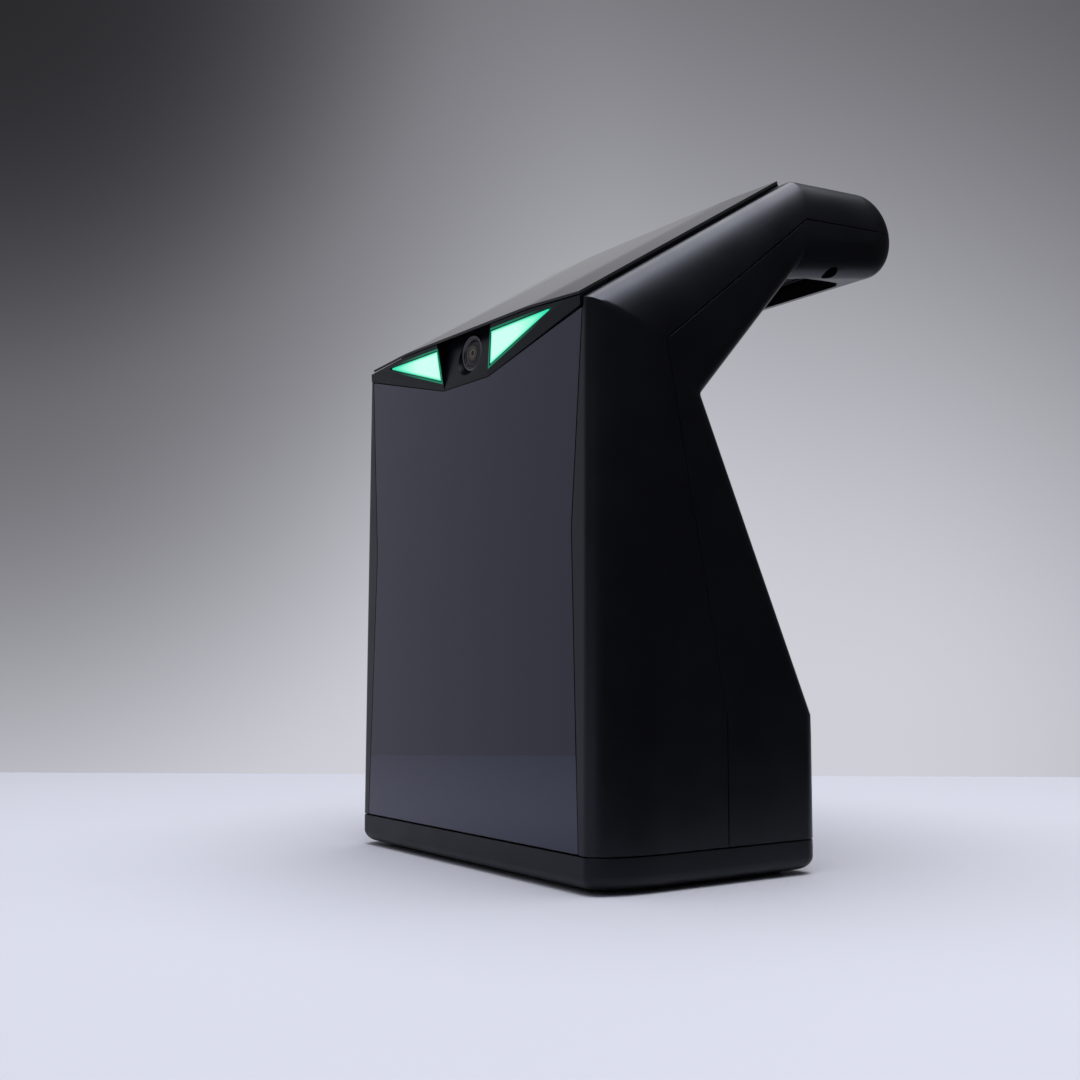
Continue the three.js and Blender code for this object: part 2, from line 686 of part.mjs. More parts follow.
function batteryPack() {
  const [radius, half] = [9.2, 36];
  const centres = [51.4, 69.6].flatMap((y) => [14.4, 32.6].map((z) => [y, z]));
  const cells = centres.map((centre) => rod("x", centre, radius, -half, half, 16));
  return join(...cells, box([-half, half], [46, 75], [9, 38]));
}

function batteryBracket() {
  const strap = [
    [35, 4.4],
    [41.6, 4.4],
    [41.6, 42.2],
    [79.4, 42.2],
    [79.4, 4.4],
    [86, 4.4],
    [86, 5.6],
    [80.6, 5.6],
    [80.6, 43.4],
    [40.4, 43.4],
    [40.4, 5.6],
    [35, 5.6],
  ];
  return prism("x", strap, -7, 7);
}

function batteryLead() {
  const route = [
    [-24, 60, 43.9],
    [-24, 54, 49],
    [-24, 44, 52],
    [-24, 36.5, 58],
    [-24, 34.2, 67],
  ].map((p) => new THREE.Vector3(...p));
  const section = new THREE.Shape(circle([0, 0], 1.4, 8).map(([u, v]) => new THREE.Vector2(u, v)));
  const path = new THREE.CatmullRomCurve3(route);
  return toSolid(new THREE.ExtrudeGeometry(section, { steps: 12, extrudePath: path }));
}

const ioBoard = () =>
  cut(box([-30, 30], IO_BOARD_Y, [20, 46]), ...IO_SCREWS.map((place) => rod("y", place, 1.6, 83, 87, 10)));

function usbPort() {
  const shell = roundedRectangle([PORT[0] - 4.5, PORT[0] + 4.5], [PORT[1] - 1.7, PORT[1] + 1.5], 1.5, 3);
  const mouth = roundedRectangle([PORT[0] - 4.1, PORT[0] + 4.1], [PORT[1] - 1.3, PORT[1] + 1.1], 1.1, 3);
  const tongue = box([PORT[0] - 3.3, PORT[0] + 3.3], [86.4, 91], [PORT[1] - 0.5, PORT[1] + 0.3]);
  return join(cut(prism("y", shell, 85.9, 91.6), prism("y", mouth, 86.7, 92)), tongue);
}

function powerSwitch() {
  const [x, z] = BUTTON;
  return join(box([x - 3, x + 3], [85.9, 89.2], [z - 3, z + 3]), rod("y", BUTTON, 1.6, 89, 90.1, 12));
}

const powerButton = () =>
  turnedY(
    [[0, 91.1], [7.2, 91.1], [7.2, 92.3], [5.9, 92.3], [5.9, 95.6], [5.4, 96.1], [0, 96.1]],
    BUTTON[0],
    BUTTON[1],
    20,
  );

function portCover() {
  const [left, right] = [PORT[0] - COVER.width / 2, PORT[0] + COVER.width / 2];
  const lid = box([left, right], [REAR_WALL_Y - COVER.thick, REAR_WALL_Y], [COVER.bottom, COVER.top]);
  const plug = box(
    [PORT[0] - 4, PORT[0] + 4],
    [REAR_WALL_Y - 2.3, REAR_WALL_Y - 1],
    [PORT[1] - 1.2, PORT[1] + 1.4],
  );
  return join(lid, plug);
}

// ---------- finishes: colour, roughness, metalness ----------
const FINISH = {
  shell: [0x101013, 0.5, 0],
  base: [0x141417, 0.45, 0],
  rubber: [0x0a0a0b, 0.9, 0],
  window: [0x1c1c22, 0.08, 0],
  bezel: [0x15151a, 0.35, 0],
  light: [0x9dffd2, 0.4, 0],
  glass: [0x08080a, 0.05, 0],
  circuit: [0x0f3d24, 0.6, 0],
  metal: [0xb4b6ba, 0.35, 1],
  darkMetal: [0x2c2d30, 0.4, 1],
  ribbon: [0xb06a28, 0.5, 0],
  battery: [0x1d4f91, 0.5, 0],
  wire: [0x8c1a1a, 0.6, 0],
};

const drawing = new THREE.Group();

function add(name, solid, finish) {
  const [color, roughness, metalness] = FINISH[finish];
  const material = new THREE.MeshStandardMaterial({ color, roughness, metalness });
  const mesh = new THREE.Mesh(toGeometry(solid), material);
  mesh.name = name;
  drawing.add(mesh);
}

add("front_shell", frontShell(), "shell");
add("rear_shell", rearShell(), "shell");
add("base_tray", baseTray(), "base");
add("foot_pad", footPad(), "rubber");
add("front_window", frontWindow(), "window");
add("window_gasket", windowGasket(), "rubber");
add("brow_bezel", browBezel(), "bezel");
add("brow_lens_ring", browLensRing(), "darkMetal");
add("brow_lens_glass", browLensGlass(), "glass");
add("brow_camera_barrel", browCameraBarrel(), "darkMetal");
add("brow_camera_board", browCameraBoard(), "circuit");
add("display_glass", displayGlass(), "glass");
add("display_frame", displayFrame(), "shell");
add("display_panel", screenLayer([-2.4, 0.9]), "darkMetal");
add("display_backing_plate", screenLayer([-4.2, -3.2]), "metal");
add("display_controller_board", slopeBox([-30, 30], [40, 75], [-6.6, -5]), "circuit");
add("handle_grip_pad", gripPad(), "rubber");
add("chassis_frame", chassisFrame(), "darkMetal");
add("ir_light_board_upper", lightBoard([-20, 20], [112, 150], 2, 3), "circuit");
add("ir_light_board_lower", lightBoard([-50, 50], [34, 74], 5, 2), "circuit");
add("main_board", mainBoard(), "circuit");
add("shield_can", shieldCan(), "metal");
add("heat_sink", heatSink(), "metal");
add("wifi_antenna", box([-77.5, -76.7], [30, 50], [90, 130]), "ribbon");
add("battery_pack", batteryPack(), "battery");
add("battery_bracket", batteryBracket(), "metal");
add("battery_lead", batteryLead(), "wire");
add("io_board", ioBoard(), "circuit");
add("usb_c_port", usbPort(), "metal");
add("power_switch", powerSwitch(), "darkMetal");
add("power_button", powerButton(), "shell");
add("port_cover", portCover(), "rubber");
add("display_ribbon", ribbon(DISPLAY_RIBBON, [-10, 2]), "ribbon");
add("io_ribbon", ribbon(IO_RIBBON, [9, 21]), "ribbon");
for (const [side, label] of [[1, "right"], [-1, "left"]]) {
  add(`eye_lens_${label}`, eyeLens(side), "light");
  add(`eye_light_board_${label}`, eyeLightBoard(side), "circuit");
  add(`camera_lens_${label}`, cameraLens(side), "darkMetal");
  add(`camera_holder_${label}`, cameraHolder(side), "shell");
  add(`camera_board_${label}`, cameraBoard(side), "circuit");
  add(`handle_screw_${label}`, handleScrew(side), "metal");
}
BASE_SCREWS.forEach((place, i) => add(`base_screw_${i + 1}`, baseScrew(place), "metal"));
CHASSIS_SCREWS.forEach((place, i) => add(`chassis_screw_${i + 1}`, screwY(place, 12.3, 6.8), "metal"));
BOARD_POSTS.forEach((place, i) => add(`board_screw_${i + 1}`, screwY(place, 31.9, 23), "metal"));
IO_SCREWS.forEach((place, i) => {
  add(`io_screw_${i + 1}`, screwFromFront(place, IO_BOARD_Y[0] - GAP, 90), "metal");
});

// Origin on the table, under the middle of the object's box.
const bounds = new THREE.Box3().setFromObject(drawing);
drawing.position.y = -(bounds.min.y + bounds.max.y) / 2;

const launchMonitor = new THREE.Group();
launchMonitor.add(drawing);

export default launchMonitor;
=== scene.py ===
"""Looks of the golf launch monitor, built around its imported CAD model.

Shapes are drawn in millimetres in the drawing frame: x across, y back from the window's face, z up
from the table. place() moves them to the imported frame, in metres.
"""

import cmath
import json
import math

import bmesh
import bpy
import numpy as np
from mathutils import Matrix, Vector


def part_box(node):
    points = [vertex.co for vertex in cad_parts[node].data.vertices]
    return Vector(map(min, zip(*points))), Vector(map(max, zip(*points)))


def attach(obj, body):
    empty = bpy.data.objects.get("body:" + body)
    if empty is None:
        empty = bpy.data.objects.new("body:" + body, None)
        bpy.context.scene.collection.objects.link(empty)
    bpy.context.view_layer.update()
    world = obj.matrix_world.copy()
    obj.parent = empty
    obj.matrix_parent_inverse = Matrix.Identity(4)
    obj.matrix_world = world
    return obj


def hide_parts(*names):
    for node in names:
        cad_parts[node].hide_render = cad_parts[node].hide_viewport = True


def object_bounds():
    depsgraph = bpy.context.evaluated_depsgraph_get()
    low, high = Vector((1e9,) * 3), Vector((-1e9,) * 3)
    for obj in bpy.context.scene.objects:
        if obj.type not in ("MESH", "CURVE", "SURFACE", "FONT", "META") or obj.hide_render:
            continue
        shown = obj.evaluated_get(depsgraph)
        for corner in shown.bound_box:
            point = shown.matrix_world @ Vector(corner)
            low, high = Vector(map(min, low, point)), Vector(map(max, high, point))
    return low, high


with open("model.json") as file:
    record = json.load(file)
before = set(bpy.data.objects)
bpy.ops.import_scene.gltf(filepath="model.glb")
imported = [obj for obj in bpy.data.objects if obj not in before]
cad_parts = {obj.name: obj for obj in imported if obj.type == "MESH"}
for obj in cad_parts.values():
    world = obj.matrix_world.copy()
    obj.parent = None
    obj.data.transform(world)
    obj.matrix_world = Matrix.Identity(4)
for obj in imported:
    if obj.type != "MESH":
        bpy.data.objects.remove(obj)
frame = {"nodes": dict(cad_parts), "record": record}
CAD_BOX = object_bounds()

MM = 0.001
FACE_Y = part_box("front_window")[0].y  # the window's face, where the drawing has y = 0

# ---------- driving dimensions of the body ----------
WALL = 2.6
FRONT_WALL = 5.6
GAP = 0.3
HALF_WIDTH = 80.4
FLAT_HALF_WIDTH = 71.2
BASE_TOP = 12.1
FOOT = 1.5
REAR_WALL_Y = 95.3
REAR_WALL_TOP = 54.0
THROAT = (45.0, 161.0)
BROW_Z = 188.3
SLOPE = math.radians(32.16)
HANDLE_CENTRE = (130.4, 234.0)
HANDLE_RADIUS = 16.3
HANDLE_TOP_ANGLE = math.radians(94.5)
HANDLE_UNDER_ANGLE = math.radians(-79.8)
NECK_TOP = (88.8, 209.8)
EDGE_ACROSS = HALF_WIDTH - FLAT_HALF_WIDTH
FRONT_DEEP = 25.0
SLOPE_DEEP = 22.5
HANDLE_TOP_DEEP = 26.0
HANDLE_UNDER_DEEP = 14.0
REAR_EDGE = 6.0
APEX_RADIUS = 4.0  # round where the slope turns into the handle's top
SEAM = [(52.7, 54.0), (27.3, 177.1), (94.6, 231.2), (150.0, 235.5)]
SEAM_HALF_GAP = 0.2
SEAM_END_ANGLE = math.radians(4.4)  # where the seam meets the handle's round end


# ---------- mesh tools ----------
def place(points):
    """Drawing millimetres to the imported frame's metres."""
    moved = np.asarray(points, float) * MM
    moved[:, 1] += FACE_Y
    return moved


def make(points, faces):
    """An object from points in drawing millimetres and faces as lists of indices."""
    mesh = bpy.data.meshes.new("piece")
    mesh.from_pydata(place(points), [], faces)
    mesh.validate()
    piece = bpy.data.objects.new("piece", mesh)
    bpy.context.scene.collection.objects.link(piece)
    weld(piece)
    return piece


def weld(piece, distance=2e-6):
    work = bmesh.new()
    work.from_mesh(piece.data)
    bmesh.ops.remove_doubles(work, verts=work.verts, dist=distance)
    bmesh.ops.dissolve_degenerate(work, edges=work.edges, dist=distance)
    bmesh.ops.recalc_face_normals(work, faces=work.faces)
    work.to_mesh(piece.data)
    work.free()


def boolean(piece, operation, *tools):
    """Joins, cuts or intersects the piece with each tool, and removes the tools."""
    for tool in tools:
        step = piece.modifiers.new(operation, "BOOLEAN")
        step.operation = operation
        step.solver = "MANIFOLD"
        step.object = tool
        graph = bpy.context.evaluated_depsgraph_get()
        made = bpy.data.meshes.new_from_object(piece.evaluated_get(graph))
        piece.modifiers.clear()
        old = piece.data
        piece.data = made
        bpy.data.meshes.remove(old)
        bpy.data.objects.remove(tool)
    return piece


def cut(piece, *tools):
    return boolean(piece, "DIFFERENCE", *tools)


def join(piece, *tools):
    return boolean(piece, "UNION", *tools)


def common(piece, *tools):
    return boolean(piece, "INTERSECT", *tools)


def copy(piece):
    twin = piece.copy()
    twin.data = piece.data.copy()
    bpy.context.scene.collection.objects.link(twin)
    return twin


def loft(rings, closed=False):
    """A skin through rings of equal length. Its ends are capped, unless the last ring meets the first."""
    count = len(rings[0])
    faces = []
    steps = len(rings) if closed else len(rings) - 1
    for r in range(steps):
        low, high = r * count, (r + 1) % len(rings) * count
        for i in range(count):
            j = (i + 1) % count
            faces.append((low + i, low + j, high + j, high + i))
    if not closed:
        faces.append(tuple(range(count))[::-1])
        faces.append(tuple(range((len(rings) - 1) * count, len(rings) * count)))
    return make([p for ring in rings for p in ring], faces)


def arc(centre, radius, start, end, steps):
    """Points on an arc, with its angles in degrees."""
    turns = np.radians(np.linspace(start, end, steps + 1))
    return [(centre[0] + radius * math.cos(t), centre[1] + radius * math.sin(t)) for t in turns]


def circle(centre, radius, steps=64):
    return arc(centre, radius, 0, 360, steps)[:steps]


def mirrored(outline):
    return list(outline) + [(-u, v) for u, v in reversed(outline)]


def both_ways(values):
    """Values for the corners of a mirrored outline, from those of its first half."""
    return [*values, *reversed(values)]


def rectangle(x, y):
    return [(x[0], y[0]), (x[1], y[0]), (x[1], y[1]), (x[0], y[1])]


def filleted(outline, radius, steps=6):
    """The outline with each corner rounded, radius being one number or one for each corner."""
    corners = [complex(*corner) for corner in outline]
    radii = radius if isinstance(radius, list) else [radius] * len(corners)
    made = []
    for i, (corner, size) in enumerate(zip(corners, radii)):
        before = corners[i - 1] - corner
        after = corners[(i + 1) % len(corners)] - corner
        before /= abs(before)
        after /= abs(after)
        half = abs(cmath.phase(after / before)) / 2
        centre = corner + (before + after) / abs(before + after) * size / math.sin(half)
        first, last = (corner + way * size / math.tan(half) - centre for way in (before, after))
        sweep = cmath.phase(last / first)
        for k in range(steps + 1):
            point = centre + first * cmath.exp(1j * sweep * k / steps)
            made.append((point.real, point.imag))
    return made


def inset(outline, distance):
    """Each point moved inwards by the distance, square to both of its sides."""
    p = np.array(outline, float)
    along = np.roll(p, -1, 0) - p
    anticlockwise = (p[:, 0] * along[:, 1] - p[:, 1] * along[:, 0]).sum() > 0
    along /= np.linalg.norm(along, axis=1)[:, None]
    inward = np.stack([-along[:, 1], along[:, 0]], 1) * (1 if anticlockwise else -1)
    before = np.roll(inward, 1, 0)
    both = (inward + before) / np.maximum(1e-9, (1 + (inward * before).sum(1)))[:, None]
    return [tuple(v) for v in p + both * distance]


def stand(axis, u, v, w):
    """A point of an outline (u, v) pushed to w along the axis."""
    return {"x": (w, u, v), "y": (u, w, v), "z": (u, v, w)}[axis]


def slab(axis, outline, start, end, edge=(0.0, 0.0), steps=4):
    """An outline pushed along an axis, with its edges rounded by edge[0] at start and edge[1] at end."""
    def ends(at, direction, radius):
        if radius == 0:
            return [(0.0, at)]
        turns = np.radians(np.linspace(0, 90, steps + 1))
        return [(radius * (1 - math.sin(t)), at + direction * radius * (1 - math.cos(t))) for t in turns]
    first = ends(start, 1, edge[0])
    last = ends(end, -1, edge[1])[::-1]
    rings = [[stand(axis, u, v, w) for u, v in inset(outline, i)] for i, w in first + last]
    return loft(rings)


def box(x, y, z, edge=0.0):
    outline = filleted(rectangle(x, y), edge, 3) if edge else rectangle(x, y)
    return slab("z", outline, z[0], z[1], (edge, edge), 3)


def turned(axis, centre, profile, steps=72):
    """A turned solid from (radius, place along the axis) pairs that start and end on the axis."""
    rings = [[stand(axis, *point, w) for point in circle(centre, max(r, 1e-4), steps)] for r, w in profile]
    return loft(rings)


def rod(axis, centre, radius, start, end, steps=48):
    return slab(axis, circle(centre, radius, steps), start, end)


# ---------- the body's outer form ----------
def facet(point, angle, deep):
    return {"point": point, "out": (math.cos(angle), math.sin(angle)), "deep": deep}


def tangent(centre, radius, angle, deep):
    touch = (centre[0] + radius * math.cos(angle), centre[1] + radius * math.sin(angle))
    return facet(touch, angle, deep)


SLOPE_ANGLE = math.pi / 2 + SLOPE
FRONT_FACET = facet((0, 0), math.pi, FRONT_DEEP)
SLOPE_FACET = facet((0, BROW_Z), SLOPE_ANGLE, SLOPE_DEEP)
TOP_FACET = tangent(HANDLE_CENTRE, HANDLE_RADIUS, HANDLE_TOP_ANGLE, HANDLE_TOP_DEEP)
UNDER_FACET = tangent(HANDLE_CENTRE, HANDLE_RADIUS, HANDLE_UNDER_ANGLE, HANDLE_UNDER_DEEP)


def outward_of(start, end):
    """The outward angle of a line of the profile, which runs anticlockwise."""
    return math.atan2(end[1] - start[1], end[0] - start[0]) - math.pi / 2


REAR_FACET = facet((REAR_WALL_Y, 0), 0.0, REAR_EDGE)
REAR_SLOPE_FACET = facet(
    (REAR_WALL_Y, REAR_WALL_TOP), outward_of((REAR_WALL_Y, REAR_WALL_TOP), THROAT), REAR_EDGE
)
NECK_FACET = facet(THROAT, outward_of(THROAT, NECK_TOP), REAR_EDGE)


def meet(a, b, wall_a=0.0, wall_b=0.0):
    """Where two lines of the profile cross, each moved inwards by its wall."""
    rows = np.array([a["out"], b["out"]])
    ends = [np.dot(f["out"], f["point"]) - w for f, w in ((a, wall_a), (b, wall_b))]
    return np.linalg.solve(rows, ends)


def round_facets(centre, radius, angles, deeps, steps):
    """Facets tangent to an arc, from its first angle and depth to its last."""
    return [
        tangent(centre, radius, angles[0] + (angles[1] - angles[0]) * s, deeps[0] + (deeps[1] - deeps[0]) * s)
        for s in np.linspace(0, 1, steps + 1)
    ]


APEX_CENTRE = meet(SLOPE_FACET, TOP_FACET, APEX_RADIUS, APEX_RADIUS)
APEX_FACETS = round_facets(
    APEX_CENTRE, APEX_RADIUS, (SLOPE_ANGLE, HANDLE_TOP_ANGLE), (SLOPE_DEEP, HANDLE_TOP_DEEP), 10
)
HANDLE_ANGLES = (HANDLE_UNDER_ANGLE, HANDLE_TOP_ANGLE)
HANDLE_DEEPS = (HANDLE_UNDER_DEEP, HANDLE_TOP_DEEP)
HANDLE_FACETS = round_facets(HANDLE_CENTRE, HANDLE_RADIUS, HANDLE_ANGLES, HANDLE_DEEPS, 48)
OUTSIDE_FALL = 8.0  # how steeply the half width falls outside the side view


def shares_of(points, facets, wall):
    """How far inside each facet's edge round each point is, from 0 at the profile to 1 at the flat side."""
    rows = []
    for f in facets:
        thick = wall[1] if f is FRONT_FACET else wall[0]
        depth = (np.array(f["point"]) - points) @ np.array(f["out"])
        rows.append((depth - thick) / (f["deep"] - thick))
    return np.array(rows)


def round_height(share):
    """An elliptical round's height, from 0 to 1, falling steeply outside it."""
    inside = np.clip(share, 0, 1)
    return np.sqrt(1 - (1 - inside) ** 2) + OUTSIDE_FALL * np.minimum(share, 0)


def half_width(points, wall=(0.0, 0.0)):
    """The body's half width at points (y, z) of its side view."""
    points = np.asarray(points, float)
    upper = [f for f in HANDLE_FACETS if f["out"][1] >= 0]
    under = [f for f in HANDLE_FACETS if f["out"][1] < 0]
    top = shares_of(points, [FRONT_FACET, SLOPE_FACET, *APEX_FACETS, *upper], wall).min(0)
    rear = shares_of(points, [REAR_FACET, REAR_SLOPE_FACET], wall).min(0)
    neck = shares_of(points, [NECK_FACET], wall)[0]
    below = shares_of(points, under, wall).min(0)
    across = EDGE_ACROSS - wall[0]
    narrow = REAR_EDGE - wall[0]
    start = HALF_WIDTH - REAR_EDGE
    behind = np.maximum(
        start + narrow * round_height(np.maximum(rear, neck)),
        FLAT_HALF_WIDTH + across * round_height(below),
    )
    return np.minimum(FLAT_HALF_WIDTH + across * round_height(top), behind)


def spread(corners, counts):
    """Points along a path, with the given number of steps in each of its pieces."""
    made = [np.array(corners[0], float)]
    for start, end, count in zip(corners, corners[1:], counts):
        made += [*np.linspace(start, end, count + 1)[1:]]
    return made


OPEN_BELOW = 20.0  # how far an inner form runs on below the body, which leaves the shells open there
SIDE_STEPS = (6, 70, 84, 14, 24, 26)  # up the base, front, slope, apex and handle's top, and round its end
KNEE_RISE = 7.0
RIDGE_SHARE = 0.45
EDGE_ROWS = 24
FLAT_ROWS = 34


def side_lines(wall, fine):
    """The side view's outer line, a middle line where the sides are flat, and its inner line.

    The outer line runs up the front and over the handle, the inner line up the rear and under it.
    They have equal numbers of points and meet at the handle's end.
    """
    bottom = BASE_TOP - (OPEN_BELOW if wall[0] else 0)
    n_low, n_front, n_slope, n_apex, n_top, n_end = (max(2, int(n * fine)) for n in SIDE_STEPS)
    middle_angle = (HANDLE_TOP_ANGLE + HANDLE_UNDER_ANGLE) / 2

    def on_round(centre, radius, angle):
        return np.array(centre) + (radius - wall[0]) * np.array([math.cos(angle), math.sin(angle)])

    def handle_end(start):
        angles = np.linspace(start, middle_angle, n_end + 1)[1:]
        return [on_round(HANDLE_CENTRE, HANDLE_RADIUS, a) for a in angles]

    brow = meet(FRONT_FACET, SLOPE_FACET, wall[1], wall[0])
    turns = np.linspace(SLOPE_ANGLE, HANDLE_TOP_ANGLE, n_apex + 1)
    apex = [on_round(APEX_CENTRE, APEX_RADIUS, a) for a in turns]
    top_start = on_round(HANDLE_CENTRE, HANDLE_RADIUS, HANDLE_TOP_ANGLE)
    outer = spread([(wall[1], bottom), (wall[1], REAR_WALL_TOP), brow, apex[0]], [n_low, n_front, n_slope])
    outer += apex[1:]
    outer += spread([apex[-1], top_start], [n_top])[1:]
    outer += handle_end(HANDLE_TOP_ANGLE)

    rear_top = meet(REAR_FACET, REAR_SLOPE_FACET, wall[0], wall[0])
    throat = meet(REAR_SLOPE_FACET, NECK_FACET, wall[0], wall[0])
    neck_top = meet(NECK_FACET, UNDER_FACET, wall[0], wall[0])
    under_start = on_round(HANDLE_CENTRE, HANDLE_RADIUS, HANDLE_UNDER_ANGLE)
    inner = spread([(rear_top[0], bottom), rear_top, throat], [n_low, n_front])
    inner += spread([throat, neck_top], [n_slope + n_apex // 2])[1:]
    inner += spread([neck_top, under_start], [n_apex - n_apex // 2 + n_top])[1:]
    inner += handle_end(HANDLE_UNDER_ANGLE)

    turn = meet(FRONT_FACET, SLOPE_FACET, FRONT_DEEP, SLOPE_DEEP)
    knee = meet(SLOPE_FACET, TOP_FACET, SLOPE_DEEP, HANDLE_TOP_DEEP - KNEE_RISE)
    ridge = top_start * RIDGE_SHARE + under_start * (1 - RIDGE_SHARE)
    foot = [(FRONT_DEEP, bottom), (FRONT_DEEP, REAR_WALL_TOP)]
    middle = spread([*foot, turn, knee], [n_low, n_front, n_slope])
    middle += [knee] * n_apex
    middle += spread([knee, ridge], [n_top])[1:]
    middle += spread([ridge, outer[-1]], [n_end])[1:]
    return np.array(outer), np.array(middle), np.array(inner)


def body_form(wall=(0.0, 0.0), fine=1.0):
    """The body above the base as one closed skin, or the same form smaller by a wall and open below."""
    outer, middle, inner = side_lines(wall, fine)
    first = 1 - np.cos(np.linspace(0, math.pi / 2, int(EDGE_ROWS * fine) + 1))
    second = np.sin(np.linspace(0, math.pi / 2, int(FLAT_ROWS * fine) + 1))[1:]
    rows = [outer + (middle - outer) * s for s in first]
    rows += [middle + (inner - middle) * s for s in second]
    grid = np.array(rows)
    n_rows, n_columns = grid.shape[:2]
    width = half_width(grid.reshape(-1, 2), wall)
    right = np.column_stack([width, grid.reshape(-1, 2)])
    points = [*right, *(right * (-1, 1, 1))]
    half = n_rows * n_columns
    faces = []
    for r in range(n_rows - 1):
        for c in range(n_columns - 1):
            a = r * n_columns + c
            quad = (a, a + 1, a + n_columns + 1, a + n_columns)
            faces += [quad, tuple(half + i for i in reversed(quad))]
    for edge, flip in ((0, False), ((n_rows - 1) * n_columns, True)):
        for c in range(n_columns - 1):
            quad = (edge + c, half + edge + c, half + edge + c + 1, edge + c + 1)
            faces.append(quad[::-1] if flip else quad)
    column = [r * n_columns for r in range(n_rows)]
    faces.append(tuple(column + [half + i for i in reversed(column)]))
    return make(points, faces)


# ---------- shells ----------
WINDOW = mirrored([(68.6, 12.4), (64.8, 114.5), (70.5, 185.4), (15.3, 172.3)])
WINDOW_THICK = 2.0
SHEET_GAP = 0.12  # round the window and the brow
REBATE = 3.4
LIP = 4.5
SILL_HALF_WIDTH = 68.9
BROW = mirrored([(15.3, 172.7), (70.6, 185.9), (70.6, 200.0)])
BROW_DEPTH = 10.5
RECESS = mirrored([(71.5, 91.0), (72.3, 101.0), (70.0, 111.0), (65.3, 126.0), (60.0, 131.5)])
RECESS_ROUNDS = (0.5, 6, 12, 7, 3.5)
RECESS_CEILING = 226.0
RECESS_WALL = 2.4
BELOW_HANDLE = 190.0  # a height in the open air between the handle and the body
BASE_SCREWS = [(64, 13), (-64, 13), (64, 84), (-64, 84)]  # two in the front shell, two in the rear
CHASSIS_SCREWS = [(67.6, 32), (-67.6, 32), (67.6, 158), (-67.6, 158)]
HANDLE_SCREWS = [(74.6, 111.5), (-74.6, 111.5)]
WELL_HALF = (2.4, 3.3)
SCREW_HOLE = 1.7
POST_TOP = 24.0
# The axis of each kind of fixing, then the radius, start and end of its post and of its hole.
BASE_FIXING = ("z", (4.3, BASE_TOP, POST_TOP), (SCREW_HOLE, BASE_TOP - 1, POST_TOP - 2.5))
CHASSIS_FIXING = ("y", (3.2, 5.4, 9.7), (1.5, 6.4, 10))
UPPER_FIXING = ("z", (3.7, 233.2, 252), (SCREW_HOLE, 230, 239))
LOWER_FIXING = ("z", (5.1, 205, 230.5), (SCREW_HOLE, RECESS_CEILING - 1, 231))
BUTTON = (18.0, 34.0)
BUTTON_WAY = 6.3
PORT = (-14.0, 33.1)
COVER_X = (PORT[0] - 9.7, PORT[0] + 9.7)
COVER_Z = (27.3, 39.2)
COVER_BACK = REAR_WALL_Y - 1.2
SEAT_BACK = COVER_BACK - GAP
SEAT_ROUNDS = [1.2, 1.2, 0.2, 0.2]
SCREEN_X = 60.2
SCREEN_V = (21.4, 95.6)
SCREEN_COLLAR = 2.0
FAR = 120.0  # past the body's sides


def mouth(axis, outline, face, bottom, flare):
    """A cutter that goes in from a face to a bottom, with a sloping rim of the given width."""
    way = 1 if bottom > face else -1
    wide = inset(outline, -flare)
    places = [(wide, face - way), (wide, face), (outline, face + way * flare), (outline, bottom)]
    return loft([[stand(axis, u, v, w) for u, v in line] for line, w in places])


def seam_block(front):
    """All that lies in front of the seam between the shells, or all that lies behind it."""
    shift = SEAM_HALF_GAP if front else -SEAM_HALF_GAP
    line = [(y - shift, z + shift) for y, z in SEAM]
    low, high = -60, 320
    if front:
        rest = [(line[-1][0], high), (-80, high), (-80, low)]
    else:
        rest = [(220, line[-1][1]), (220, low)]
    return slab("x", [(line[0][0], low), *line, *rest], -FAR, FAR)


def edge_cutter(path, outs, size, closed=False):
    """A square rod along a line on the surface, a corner outwards, that bevels both sides of a gap."""
    path, outs = np.array(path, float), np.array(outs, float)
    if closed:
        along = np.roll(path, -1, 0) - np.roll(path, 1, 0)
    else:
        along = np.gradient(path, axis=0)
    along /= np.linalg.norm(along, axis=1)[:, None]
    outs -= along * (outs * along).sum(1)[:, None]
    outs /= np.linalg.norm(outs, axis=1)[:, None]
    side = np.cross(along, outs)
    rings = np.stack([path + outs * size, path + side * size, path - outs * size, path - side * size], 1)
    return loft(rings.tolist(), closed)


def seam_path():
    """The seam's line over the right side, across the handle's end and down the left side."""
    far_y = HANDLE_CENTRE[0] + HANDLE_RADIUS * math.cos(SEAM_END_ANGLE)
    rise = (SEAM[3][1] - SEAM[2][1]) / (SEAM[3][0] - SEAM[2][0])
    line = spread([(SEAM[0][0], BASE_TOP - 2), *SEAM[:3]], [20, 90, 70])
    run = far_y - SEAM[2][0]
    for share in np.sin(np.linspace(0, math.pi / 2, 60))[1:]:
        line.append(np.array([SEAM[2][0] + run * share, SEAM[2][1] + rise * run * share]))
    line = np.array(line)
    step = 0.05
    slopes = [(half_width(line + s) - half_width(line - s)) / (2 * step) for s in np.eye(2) * step]
    outs = np.column_stack([np.ones(len(line)), -slopes[0], -slopes[1]])
    outs[-1] = (0, 1, 0)
    right = np.column_stack([half_width(line), line])
    flip = np.array([-1, 1, 1])
    return np.concatenate([right, right[::-1] * flip]), np.concatenate([outs, outs[::-1] * flip])


def base_plan():
    """The outline of the body where it meets the base."""
    turns = np.linspace(0, math.pi / 2, 21)
    front = [(FLAT_HALF_WIDTH + EDGE_ACROSS * math.sin(t), FRONT_DEEP * (1 - math.cos(t))) for t in turns]
    corner = (HALF_WIDTH - REAR_EDGE, REAR_WALL_Y - REAR_EDGE)
    return mirrored(front + arc(corner, REAR_EDGE, 0, 90, 12))


